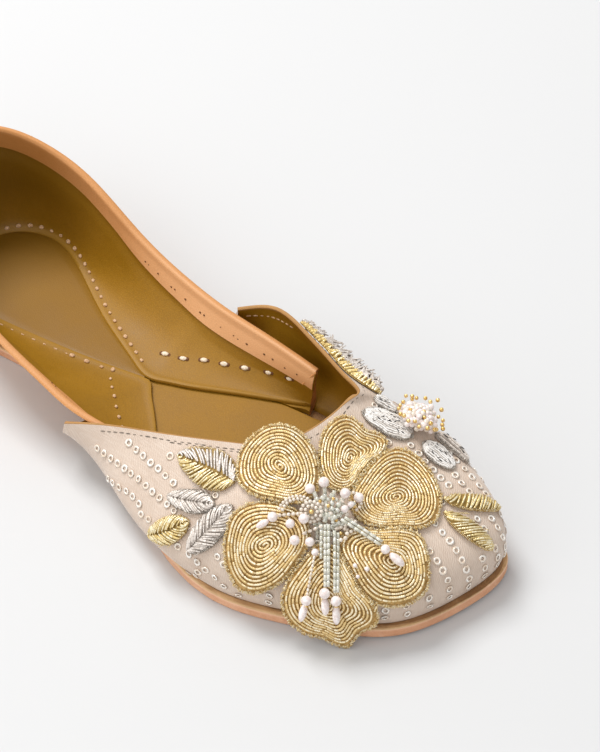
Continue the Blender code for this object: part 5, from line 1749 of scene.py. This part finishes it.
def buildTuft():
    chance = np.random.default_rng(8)
    middle = vampPoint(*tuft["spot"])
    place, up = outwardAt(middle)
    side = unit(np.cross(up, (0.0, 0.0, 1.0)))
    along = np.cross(up, side)
    base = place + up * (gap + tuft["lift"])
    pearls, seeds, gold = [], [], []
    for k in range(tuft["sprigs"]):
        angle = turn * (k + chance.uniform(-0.3, 0.3)) / tuft["sprigs"]
        lean = chance.uniform(0.15, 0.62)
        way = (side * math.cos(angle) + along * math.sin(angle)) * math.cos(lean) + up * math.sin(lean)
        reach = tuft["radius"] * chance.uniform(0.75, 1.1)
        for share, size in ((0.32, tuft["pearl"]), (0.70, 0.82 * tuft["pearl"])):
            group = pearls if chance.uniform() < 0.7 else seeds
            group.append((base + way * reach * share + up * 0.8, size))
        gold.append((base + way * reach * 1.08 + up * 1.0, tuft["seed"]))
    for k in range(tuft["beads"]):
        reach = math.sqrt((k + 0.5) / tuft["beads"])
        angle = k * 2.399963
        spot = base + (side * math.cos(angle) + along * math.sin(angle)) * reach * tuft["radius"] * 0.72
        spot += up * (1.2 + (tuft["height"] - 1.8) * (1.0 - reach**2) + chance.uniform(-0.3, 0.4))
        group = (pearls, seeds, gold)[int(chance.choice(3, p=(0.50, 0.28, 0.22)))]
        group.append((spot, tuft["seed"] * 1.35 if group is not gold else tuft["seed"]))
    meshes = []
    for finish, shape, group in (("pearl", "pearl", pearls), ("seedPearl", "bead", seeds), ("goldBead", "bead", gold)):
        paths = [beadPath([spot], [(size,) * 3], side, up) for spot, size in group]
        row = {"Long": 1.0, "Wide": 1.0, "High": 1.0, "Jitter": 0.1, "Finish": finish}
        meshes.append(studMesh("tuft" + finish, shape, paths, row, True))
    stem = newBundle()
    rings = [[base + up * z + (side * math.cos(a) + along * math.sin(a)) * r
              for a in np.arange(16) * turn / 16] for z, r in ((0.0, 3.6), (1.6, 3.2), (3.2, 1.8))]
    addLoft(stem, rings, [0] * 16, np.zeros((48, 2)))
    meshes.append(plateMesh(newPiece("tuftStem", stem, ("seedPearl",), True)))
    seat(joinMeshes("sideTuft", meshes), "pearl", "side_heart")


sideFrames = [buildSidePetal(name, row, 70 + k) for k, (name, row) in enumerate(sidePetals.items())]
buildTuft()
print("side flower made")


# Ring sequins in rows that run along the shoe and down the toe

sequins = {
    "size": 2.85,
    "pitch": 3.7,
    "clearTop": 4.2,
    "clearSole": 1.7,
    "rows": (  # y and where the row starts; rows ahead of the flower start behind it and are covered there
        (-41.3, 148.0), (-36.0, 119.0), (-31.0, 130.0), (-26.5, 146.0), (-20.0, 196.0), (-14.0, 200.0),
        (-8.0, 200.0), (-2.0, 200.0), (5.5, 200.0), (13.0, 200.0), (20.5, 184.0), (27.5, 178.0), (33.5, 164.0),
        (38.5, 146.0), (43.5, 128.0), (48.0, 118.0),
    ),
    "near": (  # single ones along the lower edge of the near wing and by the leaves
        (127.5, -38.9, 13.6), (130.8, -39.2, 14.6), (134.4, -39.6, 15.9), (138.2, -39.5, 17.3), (141.9, -39.7, 17.6),
        (145.4, -40.1, 17.5),
        (171.6, -40.9, 15.8), (175.2, -40.7, 15.0), (178.9, -40.2, 13.9), (182.4, -39.4, 12.6), (185.6, -38.4, 10.4),
        (149.4, -26.4, 31.0), (152.8, -26.3, 30.9), (181.0, -36.8, 19.6), (184.1, -36.7, 18.4),
    ),
}


def rowOver(y, start):
    points = []
    for x in np.arange(start, 240.0, 0.25):
        place, facing, _, _ = vampTree.ray_cast(Vector((x, y, 80.0)), Vector((0.0, 0.0, -1.0)))
        if place is not None:
            points.append(np.array(place))
    low = points[-1][2]
    for z in np.arange(low - 0.25, upperBase, -0.25):
        place, facing, _, _ = vampTree.ray_cast(Vector((300.0, y, z)), Vector((-1.0, 0.0, 0.0)))
        if place is not None and place[0] > points[-1][0] - 4.0:
            points.append(np.array(place))
    return steadyCurve(points, sequins["pitch"])


def underOrnament(point):
    offset = point - np.array(flower["centre"])
    u, v = offset @ flowerAcross, offset @ flowerAlong
    if math.hypot(u, v) < 9.0:
        return True
    for row in flower["petals"].values():
        reach = math.hypot(u - row[0], v - row[1])
        if reach < float(petalReach(row, np.array([math.atan2(v - row[1], u - row[0])]))[0]) + 0.9:
            return True
    for leaf in leafFrames + sideFrames:
        apart = np.linalg.norm(leaf["middles"] - point, axis=1)
        if np.any(apart < leaf["half"] * leaf["full"] + 0.6):
            return True
    return bool(np.linalg.norm(point - vampPoint(*tuft["spot"])) < tuft["radius"] + 0.6)


def buildSequins():
    chance = np.random.default_rng(21)
    throat = vampOuter[:, -1]
    spots, facings = [], []
    rows = [np.array(sequins["near"])] + [rowOver(y, start) for y, start in sequins["rows"]]
    for row in rows:
        for point in row:
            nearTop = np.min(np.linalg.norm(throat - point, axis=1)) < sequins["clearTop"]
            nearSole = point[2] < upperBase + float(springHeight(point[0])) + sequins["clearSole"]
            if nearTop or nearSole or underOrnament(point):
                continue
            if spots and np.min(np.linalg.norm(np.array(spots) - point, axis=1)) < 0.75 * sequins["pitch"]:
                continue
            place, facing = outwardAt(point + chance.uniform(-0.18, 0.18, 3))
            spots.append(place + facing * 0.28)
            facings.append(unit(facing + chance.uniform(-0.16, 0.16, 3)))
    size = sequins["size"]
    path = {"points": spots, "facing": np.array(facings), "heading": (1.0, 0.0, 0.0), "size": (1.0, 1.0, 1.0)}
    row = {"Long": size, "Wide": size, "High": 0.85, "Jitter": 0.08, "Seed": 2, "Finish": "sequin"}
    seat(studPiece("ringSequins", "ring", [path], row, True), "pearl")


buildSequins()
print("sequins made")


# Stitches, pinholes drawn as painted shade spots, and the folded end of the band

stitch = {
    "top": {"Spacing": 2.6, "Long": 1.6, "Wide": 0.34, "High": 0.24, "Lift": 0.04, "Jitter": 0.35, "Finish": "greyThread"},
    "topRows": ((2.6, 14, -3), (3.5, 34, 120)),  # how far below the throat's edge, first and last place
    "bold": {"Long": 2.45, "Wide": 1.5, "High": 1.0, "Jitter": 0.14, "Finish": "creamThread"},
    "boldPlaces": (  # the seam that carries the far wing on the insole
        (93.5, 14.4, 9.6), (99.6, 17.4, 10.2), (105.5, 21.9, 10.7), (111.8, 25.7, 10.9), (118.5, 29.4, 11.6),
        (126.6, 32.9, 13.0), (134.6, 35.5, 14.5),
    ),
    "fine": {"Spacing": 4.3, "Long": 1.75, "Wide": 1.35, "High": 0.9, "Lift": 0.22, "Jitter": 0.22, "Finish": "tanThread"},
    "sunk": {"Long": 1.5, "Wide": 0.6, "High": 0.4, "Lift": 0.05},
    "nearClear": 70.0,
    "fineInset": 2.5,
    "fineEnd": {1.0: 90.0, -1.0: 84.0},
    "nearWing": ((86.2, -3.2, 9.0), (89.8, -7.3, 9.0), (95.6, -10.9, 9.2), (102.2, -15.0, 9.6), (110.5, -19.2, 10.0)),
    "holes": {"Long": 0.78, "Wide": 0.56, "High": 0.16, "Jitter": 0.35, "Finish": "holeShade"},
    "holePitch": 7.2,
    "holesFrom": 66.0,
    "bandRow": 4,
    "flap": {"Spacing": 2.3, "Long": 1.5, "Wide": 0.5, "High": 0.4, "Lift": 0.05, "Jitter": 0.3, "Finish": "tanThread"},
    "flapRibs": (279, 298, 38),  # first and last rib and the row of the far flap's inner face
    "fold": ((145.1, 38.6, 23.9), (140.4, 36.3, 15.6), (145.1, 36.9, 15.2)),
    "foldRings": ((1.0, -0.2), (1.0, 0.16), (0.94, 0.22), (0.5, 0.25), (0.02, 0.25)),
    "foldRoll": 0.42,
}


def wallAt(point):
    place, facing, _, _ = wallTree.find_nearest(Vector(point))
    place, facing = np.array(place), np.array(facing)
    inward = np.array((place[0], 0.0, 40.0)) - place
    return place, facing if facing @ inward > 0.0 else -facing


def wallPath(points, step=0.8):
    spots = [wallAt(point) for point in steadyCurve(points, step)]
    return {"points": [spot for spot, _ in spots], "facing": np.array([facing for _, facing in spots])}


def finePoints(side):
    points = []
    for angle in np.linspace(0.10, stationAngle(90.0 / sole["length"]), 60):
        x, y = footEdge(side * angle)
        points.append((x, y + side * stitch["fineInset"], footTop + 1.0))
    return [point for point in points if point[0] < stitch["fineEnd"][side]]


def boldSeam():
    places = [wallAt(point) for point in stitch["boldPlaces"]]
    spots = np.array([place for place, _ in places])
    ways = unit(np.gradient(spots, axis=0))
    paths, ends = [], []
    for (place, facing), way in zip(places, ways):
        paths.append(beadPath([place + facing * 0.22], [(1.0, 1.0, 1.0)], way, facing))
        # painted shade at each end of a bold stitch, where the thread dips into its hole
        for side in (-1.0, 1.0):
            ends.append(beadPath([place + way * side * 1.45 + facing * 0.05], [(1.3, 1.5, 0.4)], way, facing))
    holes = {"Long": 1.0, "Wide": 1.0, "High": 1.0, "Jitter": 0.1, "Finish": "holeShade"}
    return [studMesh("boldStitch", "pearl", paths, stitch["bold"], True), studMesh("boldHole", "bead", ends, holes, True)]


def buildLiningStitches():
    near = finePoints(-1.0)
    clear = [point for point in near if point[0] > stitch["nearClear"]]
    fine = [wallPath(finePoints(1.0)), wallPath(clear), wallPath(stitch["nearWing"])]
    meshes = boldSeam()
    meshes.append(studMesh("fineStitch", "bead", fine, stitch["fine"]))
    sunk = [wallPath([point for point in near if point[0] <= stitch["nearClear"]])]
    meshes.append(studMesh("sunkStitch", "bead", sunk, {**stitch["fine"], **stitch["sunk"]}))
    first, last, row = stitch["flapRibs"]
    flap = {"points": vampInner[first:last, row], "facing": -vampNormals[first:last, row]}
    meshes.append(studMesh("flapStitch", "bead", [flap], stitch["flap"]))
    band = backLoops[:, bandFirst + stitch["bandRow"]]
    normals = unit(np.cross(np.gradient(backLoops[:, bandFirst : wallFirst], axis=0),
                            np.gradient(backLoops[:, bandFirst : wallFirst], axis=1)))[:, stitch["bandRow"]]
    inward = np.stack((band[:, 0], 0.0 * band[:, 1], band[:, 2] + 10.0), axis=1) - band
    normals *= np.sign(np.sum(normals * inward, axis=1))[:, None]
    # pinholes are small dark discs: painted shade where needle holes would be
    chance = np.random.default_rng(14)
    holes = []
    for side in (1.0, -1.0):
        keep = (band[:, 0] > stitch["holesFrom"]) & (band[:, 1] * side > 0.0) & (band[:, 0] < quarter["wingEnd"] - 4.0)
        line, facing = band[keep], normals[keep]
        for first in (0.0, 2.3):
            for run in np.arange(first, np.ptp(line[:, 0]), stitch["holePitch"]):
                k = int(np.argmin(np.abs(line[:, 0] - line[:, 0].min() - run - chance.uniform(-0.6, 0.6))))
                spot = line[k] + facing[k] * 0.03 + np.array((0.0, 0.0, chance.uniform(-0.5, 0.5)))
                holes.append(beadPath([spot], [(1.0, 1.0, 1.0)], (1.0, 0.0, 0.0), facing[k]))
    meshes.append(studMesh("pinholes", "bead", holes, stitch["holes"], True))
    seat(joinMeshes("liningStitches", meshes), "raw_silk")


def buildFold():
    corners = np.array(stitch["fold"])
    facing = unit(np.cross(corners[1] - corners[0], corners[2] - corners[0]))
    facing *= -np.sign(facing[1])
    rim = np.concatenate([np.linspace(corners[k], corners[(k + 1) % 3], 9)[:-1] for k in range(3)])
    middle = corners.mean(axis=0)
    loops = [middle + (rim - middle) * share + facing * rise for share, rise in stitch["foldRings"]]
    bundle = newBundle()
    addLoft(bundle, loops, [0] * len(rim), np.zeros((len(rim) * len(loops), 2)))
    share = np.linspace(0.04, 0.93, 12)[:, None]
    line = corners[0] + (corners[1] - corners[0]) * share + facing * 0.02
    addTube(bundle, line, stitch["foldRoll"], facing, 8, 1)
    seat(newPiece("bandFold", bundle, ("liningLeather", "rimLeather"), True, 60.0), "tan_leather")


def buildTopStitch():
    paths = []
    for down, first, last in stitch["topRows"]:
        line, facings = downFromThroat(down)
        chance = np.random.default_rng(int(10 * down))
        knots = np.arange(0, len(line) + 4, 4)
        sway = np.interp(np.arange(len(line)), knots, chance.normal(0.0, 0.11, len(knots)))
        along = unit(np.gradient(line, axis=0))
        line = line + np.cross(along, facings) * sway[:, None]
        paths.append({"points": line[first:last], "facing": facings[first:last]})
    seat(studPiece("throatStitches", "bead", paths, stitch["top"]), "raw_silk")


buildLiningStitches()
buildFold()
buildTopStitch()
print("stitches made")


# Floor and soft light

room = {
    "floor": 3.0,
    "floorTone": "#D3D3D3",
    "worldTone": "#FFFFFF",
    "worldStrength": 0.54,
    "lights": {  # place, size and power; each aims at the shoe
        "keySoftbox": ((-0.85, 0.08, 1.50), 0.75, 25.0),
        "nearSoftbox": ((-0.35, -1.15, 0.95), 1.2, 5.0),
        "toeSoftbox": ((0.80, -0.80, 0.90), 1.0, 3.6),
    },
    "aim": (0.03, 0.0, 0.01),
}


def makeRoom():
    bm = bmesh.new()
    bmesh.ops.create_grid(bm, x_segments=1, y_segments=1, size=room["floor"])
    mesh = bpy.data.meshes.new("paleFloor")
    bm.to_mesh(mesh)
    bm.free()
    floor = bpy.data.objects.new("paleFloor", mesh)
    bpy.context.scene.collection.objects.link(floor)
    material, tree, shader = newMaterial("floorPaper", {"Base Color": tint(room["floorTone"]), "Roughness": 0.9})
    shader.inputs["Specular IOR Level"].default_value = 0.1
    mesh.materials.append(material)
    world = bpy.data.worlds.new("studio")
    bpy.context.scene.world = world
    world.use_nodes = True
    background = world.node_tree.nodes["Background"]
    background.inputs["Color"].default_value = tint(room["worldTone"])
    background.inputs["Strength"].default_value = room["worldStrength"]
    for name, (place, size, power) in room["lights"].items():
        data = bpy.data.lights.new(name, "AREA")
        data.shape = "SQUARE"
        data.size = size
        data.energy = power
        light = bpy.data.objects.new(name, data)
        bpy.context.scene.collection.objects.link(light)
        light.location = place
        light.rotation_mode = "QUATERNION"
        light.rotation_quaternion = (Vector(room["aim"]) - Vector(place)).to_track_quat("-Z", "Y")
    bpy.context.scene.view_settings.view_transform = "Standard"


makeRoom()
print("room made")
